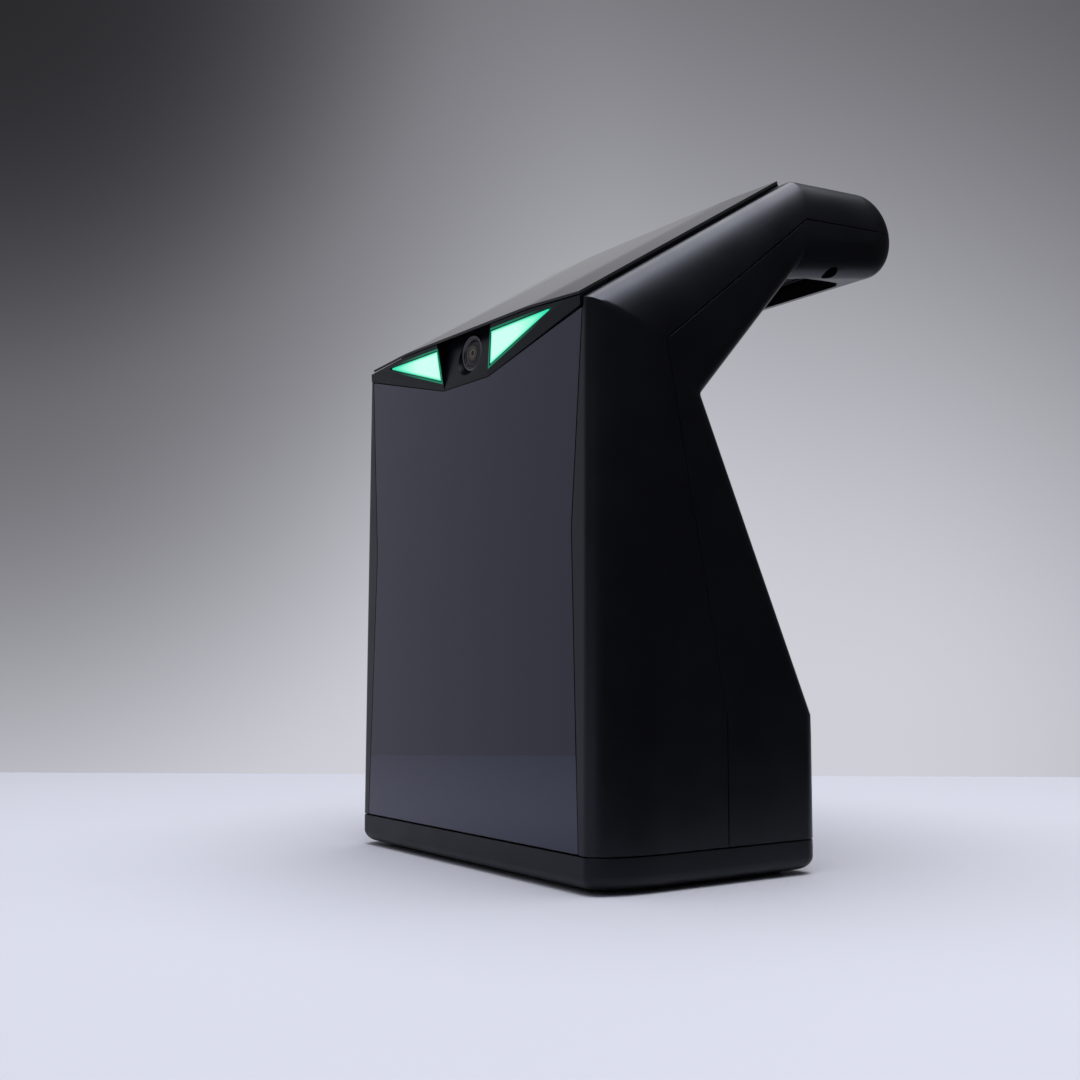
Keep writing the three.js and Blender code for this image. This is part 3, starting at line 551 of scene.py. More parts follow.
def plan_ring(amount, z):
    """The plan's outline at a height, smaller by an amount on every side."""
    middle = REAR_WALL_Y / 2
    across, along = 1 - amount / HALF_WIDTH, 1 - amount / middle
    return [(x * across, middle + (y - middle) * along, z) for x, y in base_plan()]


def seam_cutters():
    """Cutters for the seam between the shells and for the seam above the base."""
    plan = np.array(base_plan())
    around = np.column_stack([plan, np.full(len(plan), BASE_TOP - GAP / 2)])
    outs = np.column_stack([np.array(inset(plan, -1)) - plan, np.zeros(len(plan))])
    return [edge_cutter(*seam_path(), 0.3), edge_cutter(around, outs, 0.26, closed=True)]


def on_slope(x, v, w):
    """A point of the top slope: across, up the slope from its front end, and out of it."""
    return (x, v * math.cos(SLOPE) - w * math.sin(SLOPE), BROW_Z + v * math.sin(SLOPE) + w * math.cos(SLOPE))


def slope_slab(outline, start, end):
    """An outline (x, v) on the top slope, pushed along w."""
    return loft([[on_slope(x, v, w) for x, v in outline] for w in (start, end)])


def screen_outline(margin):
    """The display's outline on the slope, larger by a margin."""
    return rectangle((-SCREEN_X - margin, SCREEN_X + margin), (SCREEN_V[0] - margin, SCREEN_V[1] + margin))


def posts(fixing, places):
    axis, post, _ = fixing
    return [rod(axis, spot, *post) for spot in places]


def holes(fixing, places):
    axis, _, hole = fixing
    return [rod(axis, spot, *hole) for spot in places]


def base_posts(places):
    """Posts over the base's screws, each with a rib that ties it to the side wall."""
    made = posts(BASE_FIXING, places)
    for post, (x, y) in zip(made, places):
        wall = (x, HALF_WIDTH - 2) if x > 0 else (2 - HALF_WIDTH, x)
        join(post, box(wall, (y - 1, y + 1), (BASE_TOP, POST_TOP)))
    return made


def front_shell(form, hollow):
    """The front moulding, with its screw posts and the ways for the window, brow and display."""
    shell = common(copy(form), seam_block(True))
    cut(shell, copy(hollow))
    upper_posts = [common(post, copy(form)) for post in posts(UPPER_FIXING, HANDLE_SCREWS)]
    join(shell, *base_posts(BASE_SCREWS[:2]), *posts(CHASSIS_FIXING, CHASSIS_SCREWS), *upper_posts)
    return cut(
        shell,
        *holes(BASE_FIXING, BASE_SCREWS[:2]),
        *holes(CHASSIS_FIXING, CHASSIS_SCREWS),
        *holes(UPPER_FIXING, HANDLE_SCREWS),
        mouth("y", inset(WINDOW, -GAP), 0, REBATE, 0.15),
        box((-SILL_HALF_WIDTH, SILL_HALF_WIDTH), (-1, REBATE), (BASE_TOP - 1, BASE_TOP + 1)),
        slab("y", inset(WINDOW, LIP), REBATE - 1, FRONT_WALL + 1),
        slab("y", inset(BROW, -GAP), -5, BROW_DEPTH + GAP),
        slope_slab(screen_outline(SCREEN_COLLAR + 0.4), -9, 9),
        *seam_cutters(),
    )


def rear_shell(form, hollow):
    """The rear moulding, with the finger recess, the screw wells, the port's seat and the button's way."""
    shell = common(copy(form), seam_block(False))
    pocket_wall = inset(RECESS, -RECESS_WALL)
    cut(hollow, slab("z", pocket_wall, BELOW_HANDLE, RECESS_CEILING + RECESS_WALL))
    cut(shell, hollow)
    wells = [common(post, copy(form)) for post in posts(LOWER_FIXING, HANDLE_SCREWS)]
    port_pad = box((PORT[0] - 12, PORT[0] + 12), (REAR_WALL_Y - 4.3, REAR_WALL_Y - 1), (25, 41.5))
    join(shell, *wells, port_pad, *base_posts(BASE_SCREWS[2:]))
    well_ways = []
    for x, y in HANDLE_SCREWS:
        well = rectangle((x - WELL_HALF[0], x + WELL_HALF[0]), (y - WELL_HALF[1], y + WELL_HALF[1]))
        well_ways.append(slab("z", filleted(well, WELL_HALF[0] - 0.05), BELOW_HANDLE, RECESS_CEILING))
    recess = filleted(RECESS, both_ways(RECESS_ROUNDS), 8)
    seat = filleted(inset(rectangle(COVER_X, COVER_Z), -GAP), SEAT_ROUNDS)
    plug_way = filleted(rectangle((PORT[0] - 5.4, PORT[0] + 5.4), (PORT[1] - 2.2, PORT[1] + 2)), 1.9)
    nail = ((PORT[0] - 4, PORT[0] + 4), (REAR_WALL_Y - 1, REAR_WALL_Y + 1), (25.9, 27.2))
    return cut(
        shell,
        *holes(BASE_FIXING, BASE_SCREWS[2:]),
        *well_ways,
        *holes(LOWER_FIXING, HANDLE_SCREWS),
        slab("z", recess, BELOW_HANDLE, RECESS_CEILING, (0, 1.2)),
        mouth("y", seat, REAR_WALL_Y, SEAT_BACK, 0.25),
        mouth("y", plug_way, SEAT_BACK, REAR_WALL_Y - 6, 0.3),
        mouth("y", circle(BUTTON, BUTTON_WAY), REAR_WALL_Y, REAR_WALL_Y - 5, 0.3),
        box(*nail, 0.4),
        *seam_cutters(),
    )


def shells():
    """The front and rear shells as hollow mouldings, cut from the same form."""
    form = body_form()
    hollow = body_form((WALL, FRONT_WALL), 0.4)
    made = front_shell(form, hollow), rear_shell(form, hollow)
    bpy.data.objects.remove(form)
    return made


# ---------- base ----------
BASE_ROUND = 4.6
BASE_FLOOR = 4.1
FOOT_INSET = 8.0


def base_tray():
    turns = np.linspace(0, math.pi / 2, 13)
    outer = [(BASE_ROUND * (1 - math.sin(t)), FOOT + BASE_ROUND * (1 - math.cos(t))) for t in turns]
    top = BASE_TOP - GAP
    steps = outer + [(0, top - 0.4), (0.12, top - 0.12), (0.4, top), (WALL, top), (WALL, BASE_FLOOR)]
    tray = loft([plan_ring(*step) for step in steps])
    join(tray, *[rod("z", p, 4.5, FOOT + 0.5, top) for p in BASE_SCREWS])
    for p in BASE_SCREWS:
        cut(
            tray,
            mouth("z", circle(p, 3.4), FOOT, BASE_FLOOR + 0.3, 0.3),
            rod("z", p, SCREW_HOLE, BASE_FLOOR, BASE_TOP + 1),
        )
    return tray


def foot_pad():
    steps = [(0.35, 0), (0.1, 0.1), (0, 0.35), (0, 1.0), (0.1, FOOT - GAP)]
    return loft([plan_ring(FOOT_INSET + extra, z) for extra, z in steps])


# ---------- front: window, brow, lights and lens ----------
LEAN_FOOT_Z = 172.7
LEAN = 1.1 / 16.3
EYE = [(54.9, 188.2), (18.7, 188.0), (16.8, 176.7)]
EYE_SET_BACK = 0.1
EYE_GAP = 0.15
EYE_BACK = 3.4
BROW_LENS = (0.0, 184.4)
LENS_WELL = [
    (0, -4), (8.4, -4), (8.4, 1), (7.1, 3),
    (7.1, 5.9), (5.3, 5.9), (5.3, BROW_DEPTH + 1), (0, BROW_DEPTH + 1),
]
LENS_RING = [
    (5.1, 3.9), (5.1, 3.3), (5.2, 3.18), (5.4, 3.1), (5.5, 3.2), (5.65, 3.2),
    (5.75, 2.95), (6.1, 2.8), (6.5, 2.82), (6.8, 3.1), (6.8, 5.5), (5.1, 5.5),
]
LENS_RADIUS = 4.95
LENS_FRONT_Y = 3.12
LENS_DOME = 0.28
BAY_DEPTH = 3.6
PLATE_HALF_WIDTH = 69.7
PLATE_V = (0.6, 107.4)
CROWN_FLAT = 42.0
CROWN_SOFT = 5.0
CROWN = (1.55, 0.7)
GLASS_W = (1.3, 2.2)


def front_window():
    outline = filleted(inset(WINDOW, -SHEET_GAP), both_ways((0.6, 30, 0.8, 6)))
    return slab("y", outline, 0, WINDOW_THICK, (0.25, 0.0))


def behind_leaning_face(set_back):
    """All that lies behind the brow's face, which is upright up to its foot and leans forward above it."""
    rise = 40
    low, high = LEAN_FOOT_Z - 5, LEAN_FOOT_Z + rise
    face = [(set_back - LEAN * rise, high), (set_back, LEAN_FOOT_Z)]
    return slab("x", [(set_back, low), (90, low), (90, high), *face], -90, 90)


def eye_outline(side):
    return [(side * x, z) for x, z in EYE]


def crown_at(v):
    """How far the plate's middle stands above its sides, at a place up the slope."""
    share = (v - PLATE_V[0]) / (PLATE_V[1] - PLATE_V[0])
    return CROWN[0] + (CROWN[1] - CROWN[0]) * share


def crown_ring(v, height, half, low):
    """A section across the slope, with three gently joined facets on top and low's points (x, w) below."""
    crown = crown_at(v)
    fall = crown * CROWN_SOFT / (half - CROWN_FLAT)
    right = [(half, height)]
    for t in np.linspace(0, 1, 7):
        right.append((CROWN_FLAT + CROWN_SOFT * (1 - 2 * t), height + crown - fall * (1 - t) ** 2))
    return [on_slope(x, v, w) for x, w in mirrored(right) + low]


def level(half, w):
    return [(-half, w), (half, w)]


def brow_bezel():
    blank = slab("y", inset(BROW, -SHEET_GAP), -4, BROW_DEPTH)
    half = PLATE_HALF_WIDTH + 1
    under_plate = loft([crown_ring(v, GLASS_W[0] - GAP, half, level(half, -60)) for v in (-14, 40)])
    common(blank, behind_leaning_face(0), under_plate)
    wedge = [(-6, LEAN_FOOT_Z), (0, LEAN_FOOT_Z), (BAY_DEPTH, 192), (BAY_DEPTH, 200), (-6, 200)]
    sides = mirrored([(14.6, 172.6), (18.9, 192), (18.9, 200)])
    bay = common(slab("x", wedge, -30, 30), slab("y", sides, -6, 6))
    cut(blank, bay, turned("y", BROW_LENS, LENS_WELL))
    for side in (1, -1):
        outline = eye_outline(side)
        cut(
            blank,
            slab("y", inset(outline, -EYE_GAP), -4, EYE_BACK + 0.5),
            slab("y", inset(outline, 0.9), EYE_BACK - 0.1, BROW_DEPTH + 1),
        )
    return blank


def eye_lens(side):
    lens = slab("y", filleted(eye_outline(side), 0.25, 3), -3, EYE_BACK)
    return common(lens, behind_leaning_face(EYE_SET_BACK))


def brow_lens_ring():
    rings = [[stand("y", *point, w) for point in circle(BROW_LENS, r, 96)] for r, w in LENS_RING]
    return loft(rings, closed=True)


def brow_lens_glass():
    dome = [(LENS_RADIUS * t, LENS_FRONT_Y + LENS_DOME * t * t) for t in np.linspace(0, 1, 14)]
    return turned("y", BROW_LENS, [*dome, (LENS_RADIUS, 5.3), (0, 5.3)], 96)


# ---------- top slope ----------
def display_glass():
    rings = []
    for v in np.linspace(*PLATE_V, 5):
        right = [(PLATE_HALF_WIDTH, GLASS_W[0]), (CROWN_FLAT, GLASS_W[0] + crown_at(v))]
        low = [(-x, w) for x, w in right] + right[::-1]
        rings.append(crown_ring(v, GLASS_W[1], PLATE_HALF_WIDTH, low))
    return loft(rings)


def display_frame():
    """The black frame under the glass, flush with its sides, with a collar round the display."""
    half = PLATE_HALF_WIDTH - 0.1
    places = np.linspace(15, PLATE_V[1] - 0.1, 5)
    flange = loft([crown_ring(v, GLASS_W[0] - 0.05, half, level(half, GAP)) for v in places])
    join(flange, slope_slab(screen_outline(SCREEN_COLLAR), -5, 0.8))
    return cut(flange, slope_slab(screen_outline(GAP), -9, 9))


# ---------- handle and rear wall ----------
GROOVES = 9
GROOVE_STEP = 3.6
GROOVE_HALF = 0.6
BUTTON_EDGE = [(5.9, 95.5), (5.7, 95.85), (5.4, 96.05), (5.0, 96.1)]
BUTTON_DISH = (4.4, 95.75, 0.3)  # its radius, the depth of its middle and its rise


def handle_grip_pad():
    outline = filleted(inset(RECESS, 1), both_ways((0.5, 5, 11, 6, 3)), 8)
    face = RECESS_CEILING - 2.1
    pad = slab("z", outline, face, RECESS_CEILING - GAP, (0.5, 0.0))
    for k in range(GROOVES):
        y = 99 + k * GROOVE_STEP
        half = 58 - max(0, k - 5) * 2.6
        groove = filleted(rectangle((-half, half), (y - GROOVE_HALF, y + GROOVE_HALF)), GROOVE_HALF - 0.05)
        cut(pad, slab("z", groove, face - 0.9, face + 0.6))
    return pad


def power_button():
    reach, middle, rise = BUTTON_DISH
    dish = [(reach * s, middle + rise * s * s) for s in np.linspace(1, 0, 8)]
    profile = [(0, 91.1), (7.2, 91.1), (7.2, 92.3), (5.9, 92.3), *BUTTON_EDGE, *dish]
    return turned("y", BUTTON, profile, 96)


def port_cover():
    """The lid with a plug on its inner side and three fine grooves for a fingernail."""
    outline = filleted(rectangle(COVER_X, COVER_Z), [1.0, 1.0, 0.35, 0.35])
    lid = slab("y", outline, COVER_BACK, REAR_WALL_Y, (0, 0.3))
    plug = filleted(rectangle((PORT[0] - 4, PORT[0] + 4), (PORT[1] - 1.2, PORT[1] + 1.4)), 1.1)
    join(lid, slab("y", plug, REAR_WALL_Y - 2.3, REAR_WALL_Y - 1, (0.3, 0)))
    for k in range(3):
        z = COVER_Z[0] + 1.6 + k * 0.9
        groove = filleted(rectangle((PORT[0] - 4.5, PORT[0] + 4.5), (z - 0.2, z + 0.2)), 0.19)
        cut(lid, slab("y", groove, REAR_WALL_Y - 0.25, REAR_WALL_Y + 1))
    return lid


# ---------- fasteners ----------
HEAD_HEIGHT = 2.3
THREAD_PITCH = 0.8
THREAD_DEEP = 0.12
BASE_SHANK = 1.3
HANDLE_SHANK = 1.1


def screw(node, thin):
    """A screw like the node's, with a hexagon socket in its head below and thread ridges up its shank."""
    low, high = (np.array(corner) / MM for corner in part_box(node))
    centre = ((low[0] + high[0]) / 2, (low[1] + high[1]) / 2 - FACE_Y / MM)
    wide, head, tip = (high[0] - low[0]) / 2, low[2], high[2]
    neck = head + HEAD_HEIGHT
    profile = [(0, head), (wide - 0.5, head), (wide - 0.1, head + 0.25), (wide, head + 0.6)]
    profile += [(wide, neck), (thin, neck)]
    for k in range(int((tip - neck - 1.5) / THREAD_PITCH)):
        at = neck + 0.4 + k * THREAD_PITCH
        profile += [(thin, at), (thin + THREAD_DEEP, at + 0.2), (thin, at + 0.4)]
    profile += [(thin, tip - 0.6), (thin * 0.5, tip), (0, tip)]
    made = turned("z", centre, profile, 32)
    return cut(made, slab("z", circle(centre, wide * 0.48, 6), head - 1, head + 1.2))


# ---------- materials ----------
class Nodes:
    """A node tree, and a short way to write its nodes."""

    def __init__(self, tree):
        self.tree = tree
        self.coordinates = self.node("ShaderNodeTexCoord")
        self.place = self.coordinates.outputs["Object"]

    def node(self, kind, **settings):
        made = self.tree.nodes.new(kind)
        for key, value in settings.items():
            setattr(made, key, value)
        return made

    def link(self, source, target):
        self.tree.links.new(source, target)

    def math(self, operation, a, b=0.0, c=0.0):
        made = self.node("ShaderNodeMath", operation=operation)
        for socket, value in zip(made.inputs, (a, b, c)):
            if isinstance(value, (int, float)):
                socket.default_value = value
            else:
                self.link(value, socket)
        return made.outputs[0]

    def times(self, *values):
        made = values[0]
        for value in values[1:]:
            made = self.math("MULTIPLY", made, value)
        return made

    def spread(self, value, low, high, to_low, to_high, ease="LINEAR"):
        made = self.node("ShaderNodeMapRange", clamp=True, interpolation_type=ease)
        self.link(value, made.inputs["Value"])
        for socket, number in zip(("From Min", "From Max", "To Min", "To Max"), (low, high, to_low, to_high)):
            made.inputs[socket].default_value = number
        return made.outputs["Result"]

    def along(self, vector, direction):
        """How far a vector reaches along a direction."""
        made = self.node("ShaderNodeVectorMath", operation="DOT_PRODUCT")
        self.link(vector, made.inputs[0])
        made.inputs[1].default_value = direction
        return made.outputs["Value"]

    def axes(self):
        """The x, y and z of the shaded point, in metres."""
        made = self.node("ShaderNodeSeparateXYZ")
        self.link(self.place, made.inputs["Vector"])
        return tuple(made.outputs)

    def texture(self, kind, scale, stretch=None, **settings):
        made = self.node(kind, **settings)
        vector = self.place
        if stretch:
            mapping = self.node("ShaderNodeMapping")
            self.link(vector, mapping.inputs["Vector"])
            mapping.inputs["Scale"].default_value = stretch
            vector = mapping.outputs["Vector"]
        self.link(vector, made.inputs["Vector"])
        made.inputs["Scale"].default_value = scale
        return made

    def noise(self, scale, detail=3.0, stretch=None):
        made = self.texture("ShaderNodeTexNoise", scale, stretch)
        made.inputs["Detail"].default_value = detail
        return made.outputs["Fac"]

    def cells(self, scale, feature="F1", stretch=None):
        return self.texture("ShaderNodeTexVoronoi", scale, stretch, feature=feature).outputs["Distance"]

    def mix(self, share, a, b):
        made = self.node("ShaderNodeMix", data_type="RGBA")
        self.link(share, made.inputs["Factor"])
        for socket, value in zip((made.inputs[6], made.inputs[7]), (a, b)):
            if isinstance(value, tuple):
                socket.default_value = (*value, 1)
            else:
                self.link(value, socket)
        return made.outputs[2]


# Colours of the surface's gloss.
PLAIN_GLOSS = (1.0, 1.0, 1.0)
COOL_GLOSS = (0.82, 0.86, 1.0)
BROW_GLOSS = (0.75, 0.85, 1.0)
SMOKE_GLOSS = (0.64, 0.66, 1.0)


class Finish(Nodes):
    """One material on the standard surface shader."""

    def __init__(self, name, colour, rough, level=0.5, gloss=PLAIN_GLOSS, metal=0.0):
        self.material = bpy.data.materials.new(name)
        self.material.use_nodes = True
        super().__init__(self.material.node_tree)
        self.shader = self.tree.nodes["Principled BSDF"]
        self.colour = colour
        uniform = {"Base Color": (*colour, 1), "Roughness": rough, "Metallic": metal}
        uniform |= {"Specular IOR Level": level, "Specular Tint": (*gloss, 1)}
        for socket, value in uniform.items():
            self.shader.inputs[socket].default_value = value

    def tint(self, colour):
        self.link(colour, self.shader.inputs["Base Color"])
        return self

    def glow(self, colour, strength=1.0):
        self.link(colour, self.shader.inputs["Emission Color"])
        self.shader.inputs["Emission Strength"].default_value = strength
        return self

    def roughen(self, value, to_low, to_high, low=0.3, high=0.7):
        self.link(self.spread(value, low, high, to_low, to_high), self.shader.inputs["Roughness"])
        return self

    def bump(self, height, depth):
        """depth is the height of the relief in metres."""
        made = self.node("ShaderNodeBump")
        made.inputs["Strength"].default_value = 1.0
        made.inputs["Distance"].default_value = depth
        self.link(height, made.inputs["Height"])
        self.link(made.outputs["Normal"], self.shader.inputs["Normal"])
        return self

    def mottle(self, scale, low, high):
        """Slow changes of tone between two shares of the base colour."""
        share = self.spread(self.noise(scale), 0.3, 0.7, 0, 1)
        dark, light = (tuple(channel * part for channel in self.colour) for part in (low, high))
        return self.tint(self.mix(share, dark, light))


def moulded(name, colour, rough, *gloss):
    """Moulded plastic with a fine spark-eroded grain and faint handling marks."""
    made = Finish(name, colour, rough, *gloss).mottle(22, 0.82, 1.18)
    made.roughen(made.noise(60, 5), rough - 0.035, rough + 0.045)
    return made.bump(made.noise(2600, 2), 1.2e-5).material


def rubber(name, colour, rough=0.72):
    made = Finish(name, colour, rough, 0.35).mottle(45, 0.8, 1.2)
    made.roughen(made.noise(180, 4), rough - 0.06, rough + 0.08)
    return made.bump(made.noise(1900, 3), 3.5e-5).material


def glossy(name, colour, rough, *gloss):
    """A polished sheet with faint smears in its gloss."""
    made = Finish(name, colour, rough, *gloss).mottle(8, 0.9, 1.1)
    smears = made.noise(9, 6, (1.0, 1.0, 2.6))
    made.roughen(smears, rough, rough + 0.035, 0.42, 0.78)
    return made.bump(made.noise(14, 1), 6e-6).material


def metal(name, colour, rough, along=(1.0, 60.0, 60.0)):
    """Metal with fine tool lines. along is the pattern's scale on each axis, lowest where the lines run."""
    made = Finish(name, colour, rough, metal=1.0).mottle(30, 0.88, 1.08)
    lines = made.noise(90, 3, along)
    made.roughen(lines, rough - 0.07, rough + 0.09)
    return made.bump(lines, 4e-6).material


def circuit(name, colour):
    """A solder-masked board: raised tracks under the lacquer and pale solder pads."""
    made = Finish(name, colour, 0.38)
    tracks = made.spread(made.cells(420, "DISTANCE_TO_EDGE", (1.0, 1.0, 0.35)), 0.02, 0.06, 1, 0)
    pads = made.spread(made.cells(260), 0.0, 0.23, 1, 0)
    light = tuple(min(1.0, channel * 1.9 + 0.01) for channel in colour)
    board = made.mix(tracks, colour, light)
    dots = made.spread(pads, 0.2, 0.3, 0, 1)
    made.tint(made.mix(dots, board, (0.55, 0.5, 0.4)))
    made.roughen(dots, 0.38, 0.25, 0, 1)
    return made.bump(tracks, 1.5e-5).material


def wrapped(name, colour, rough=0.42):
    """A thin sleeve with soft folds round what it holds."""
    made = Finish(name, colour, rough).mottle(26, 0.85, 1.15)
    folds = made.noise(70, 4, (1.0, 5.0, 1.0))
    made.roughen(folds, rough - 0.06, rough + 0.1)
    return made.bump(folds, 9e-5).material


def flat_cable(name):
    """An amber film with parallel copper lines."""
    made = Finish(name, (0.34, 0.13, 0.02), 0.32)
    lines = made.texture("ShaderNodeTexWave", 260, wave_type="BANDS", bands_direction="X")
    copper = made.spread(lines.outputs["Fac"], 0.35, 0.65, 0, 1)
    made.tint(made.mix(copper, (0.3, 0.1, 0.015), (0.6, 0.28, 0.08)))
    made.roughen(made.noise(60), 0.26, 0.4)
    return made.bump(copper, 1.5e-5).material


EYE_EDGE = (0.0, 0.74, 0.42)
EYE_MIDDLE = (0.56, 1.0, 0.76)
# Colour of the painted glow: the eye's green light painted on the brow round each eye.
PAINTED_RIM_GLOW = (0.0, 0.2, 0.1)
RIM_FROM, RIM_TO = -0.0011, -0.00045  # the painted glow line's two edges, as depths in the eye
RIM_SOFT = 0.00005


def depth_in_eye(made):
    """How far a point is inside the triangle of a lit eye, in metres: negative outside."""
    x, _, z = made.axes()
    across = made.math("ABSOLUTE", x)
    corners = [np.array(corner) * MM for corner in EYE]
    middle = sum(corners) / 3
    depth = None
    for a, b in zip(corners, corners[1:] + corners[:1]):
        inward = np.array((a[1] - b[1], b[0] - a[0])) / np.linalg.norm(b - a)
        if inward @ (middle - a) < 0:
            inward = -inward
        reach = made.math("MULTIPLY", across, float(inward[0]))
        reach = made.math("MULTIPLY_ADD", z, float(inward[1]), reach)
        reach = made.math("SUBTRACT", reach, float(inward @ a))
        depth = reach if depth is None else made.math("MINIMUM", depth, reach)
    return depth


def lit_lens(name):
    """A frosted lens lit from behind: pale towards the middle of the brow, a deep green at its edges."""
    made = Finish(name, (0.05, 0.3, 0.18), 0.3)
    from_tip = made.spread(made.math("ABSOLUTE", made.axes()[0]), 0.034, 0.052, 1, 0.0)
    share = made.times(made.spread(depth_in_eye(made), 0.0, 0.001, 0.05, 1), from_tip)
    made.tint(made.mix(share, (0.0, 0.08, 0.05), (0.05, 0.3, 0.2)))
    made.glow(made.mix(share, EYE_EDGE, EYE_MIDDLE))
    made.roughen(made.noise(300), 0.25, 0.4)
    return made.bump(made.noise(900, 2), 2e-5).material


def brow_plastic(name):
    """Satin black plastic with a painted green glow line round each eye, on the leaning face only: the eye's
    light painted as emission on the brow.
    """
    made = Finish(name, (0.004, 0.004, 0.0055), 0.3, 0.15, BROW_GLOSS).mottle(22, 0.85, 1.15)
    made.roughen(made.noise(60, 5), 0.27, 0.34)
    depth = depth_in_eye(made)
    outer = made.spread(depth, RIM_FROM - RIM_SOFT, RIM_FROM + RIM_SOFT, 0, 1)
    inner = made.spread(depth, RIM_TO - RIM_SOFT, RIM_TO + RIM_SOFT, 1, 0)
    x, y, z = made.axes()
    foot = FACE_Y + LEAN * LEAN_FOOT_Z * MM
    behind = made.math("MULTIPLY_ADD", z, LEAN, y)
    on_face = made.spread(behind, foot + 0.0001, foot + 0.0002, 1, 0)
    to_tip = made.spread(made.math("ABSOLUTE", x), 0.03, 0.048, 1, 0.03)
    # painted glow: emission on the brow's face in a thin line round each eye, fading towards the tips
    made.glow(made.mix(made.times(outer, inner, on_face, to_tip), (0.0, 0.0, 0.0), PAINTED_RIM_GLOW))
    return made.bump(made.noise(1600, 2), 4e-6).material


# Painted reflection and shade in the lens glass: the tone outside the rings, then each ring's outer radius in
# millimetres and its colour. The pale ring at 1.6 mm is a painted highlight.
LENS_OUTER_TONE = (0.035, 0.035, 0.038)
PAINTED_LENS_RINGS = (
    (3.5, (0.01, 0.01, 0.01)),
    (2.9, (0.085, 0.07, 0.056)),
    (1.6, (0.2, 0.175, 0.155)),
    (1.15, (0.012, 0.009, 0.004)),
)


def coated_glass(name):
    """Lens glass with its inside painted on in rings of painted reflection and shade: a dark pupil, a pale
    ring of painted highlight, a brown ring and a black ring, inside a grey rim.
    """
    made = Finish(name, (0.01, 0.008, 0.008), 0.05, 0.1)
    x, _, z = made.axes()
    across = made.math("POWER", x, 2.0)
    height = made.math("SUBTRACT", z, BROW_LENS[1] * MM)
    radius = made.math("SQRT", made.math("ADD", across, made.math("POWER", height, 2.0)))
    tone = LENS_OUTER_TONE
    # paints the rings of reflection, highlight and shade by distance from the lens's middle
    for reach, colour in PAINTED_LENS_RINGS:
        tone = made.mix(made.spread(radius, (reach - 0.2) * MM, reach * MM, 1, 0), tone, colour)
    made.tint(tone)
    return made.bump(made.noise(60), 2e-6).material


def screen_face(name):
    """Black glass over a display, whose matrix shows very faintly. The plate's edges are ground matt."""
    made = Finish(name, (0.006, 0.006, 0.007), 0.05)
    matrix = made.spread(made.cells(2600), 0.2, 0.5, 0, 1)
    made.tint(made.mix(matrix, (0.005, 0.005, 0.006), (0.011, 0.011, 0.013)))
    facing = made.along(made.coordinates.outputs["Normal"], (0, -math.sin(SLOPE), math.cos(SLOPE)))
    edge = made.spread(facing, 0.6, 0.8, 0.55, 0)
    smear = made.spread(made.noise(9, 6), 0.4, 0.75, 0.06, 0.1)
    made.link(made.math("ADD", edge, smear), made.shader.inputs["Roughness"])
    return made.bump(made.noise(12, 1), 5e-6).material


# How each slot of the record is finished: a function and what it takes after the material's name.
FINISHES = {
    "shell_plastic": (moulded, (0.0035, 0.0035, 0.0045), 0.36, 0.4, COOL_GLOSS),
    "button_plastic": (moulded, (0.02, 0.02, 0.022), 0.4),
    "base_plastic": (moulded, (0.0035, 0.0035, 0.005), 0.4, 0.26, COOL_GLOSS),
    "bezel_plastic": (brow_plastic,),
    "switch_plastic": (moulded, (0.03, 0.03, 0.032), 0.45),
    "foot_rubber": (rubber, (0.02, 0.02, 0.021), 0.78),
    "seal_rubber": (rubber, (0.016, 0.016, 0.017)),
    "grip_rubber": (rubber, (0.016, 0.016, 0.017)),
    "cover_rubber": (rubber, (0.013, 0.013, 0.014), 0.62),
    "smoked_window": (glossy, (0.003, 0.003, 0.005), 0.02, 0.72, SMOKE_GLOSS),
    "screen_glass": (screen_face,),
    "screen_panel": (glossy, (0.03, 0.034, 0.04), 0.2),
    "lens_metal": (metal, (0.11, 0.11, 0.115), 0.34),
    "lens_glass": (coated_glass,),
    "light_diffuser": (lit_lens,),
    "chassis_metal": (metal, (0.32, 0.33, 0.35), 0.42),
    "heat_sink_metal": (metal, (0.07, 0.07, 0.075), 0.4, (60.0, 1.0, 60.0)),
    "steel": (metal, (0.5, 0.5, 0.49), 0.3),
    "screw_steel": (metal, (0.14, 0.14, 0.15), 0.34, (40.0, 40.0, 1.0)),
    "battery_wrap": (wrapped, (0.02, 0.05, 0.16)),
    "wire_jacket": (wrapped, (0.28, 0.02, 0.015), 0.5),
    "flex_film": (flat_cable,),
    "circuit_board": (circuit, (0.006, 0.045, 0.02)),
}
MATERIALS = {slot: build(f"{slot}_finish", *values) for slot, (build, *values) in FINISHES.items()}


# ---------- assembly ----------
SHARP = math.radians(28)
SLOTS = {entry["node"]: entry["material_slot"] for entry in frame["record"]["subparts"]}
BODIES = {node: body for body, nodes in frame["record"]["behaviour"]["bodies"].items() for node in nodes}


def add(piece, node):
    """Gives a finished piece its name, shading, material and body, and hides the node it stands for."""
    piece.name = f"{node}_fine"
    piece.data.materials.clear()
    piece.data.materials.append(MATERIALS[SLOTS[node]])
    piece.data.shade_smooth()
    piece.data.set_sharp_from_angle(angle=SHARP)
    shading = piece.modifiers.new("even_shading", "WEIGHTED_NORMAL")
    shading.keep_sharp = True
    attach(piece, BODIES[node])
    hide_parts(node)


def finish_nodes():
    """Gives every CAD node that still shows the material of its slot."""
    for name, slot in SLOTS.items():
        node = frame["nodes"][name]
        if not node.hide_render:
            node.data.materials.clear()
            node.data.materials.append(MATERIALS[slot])


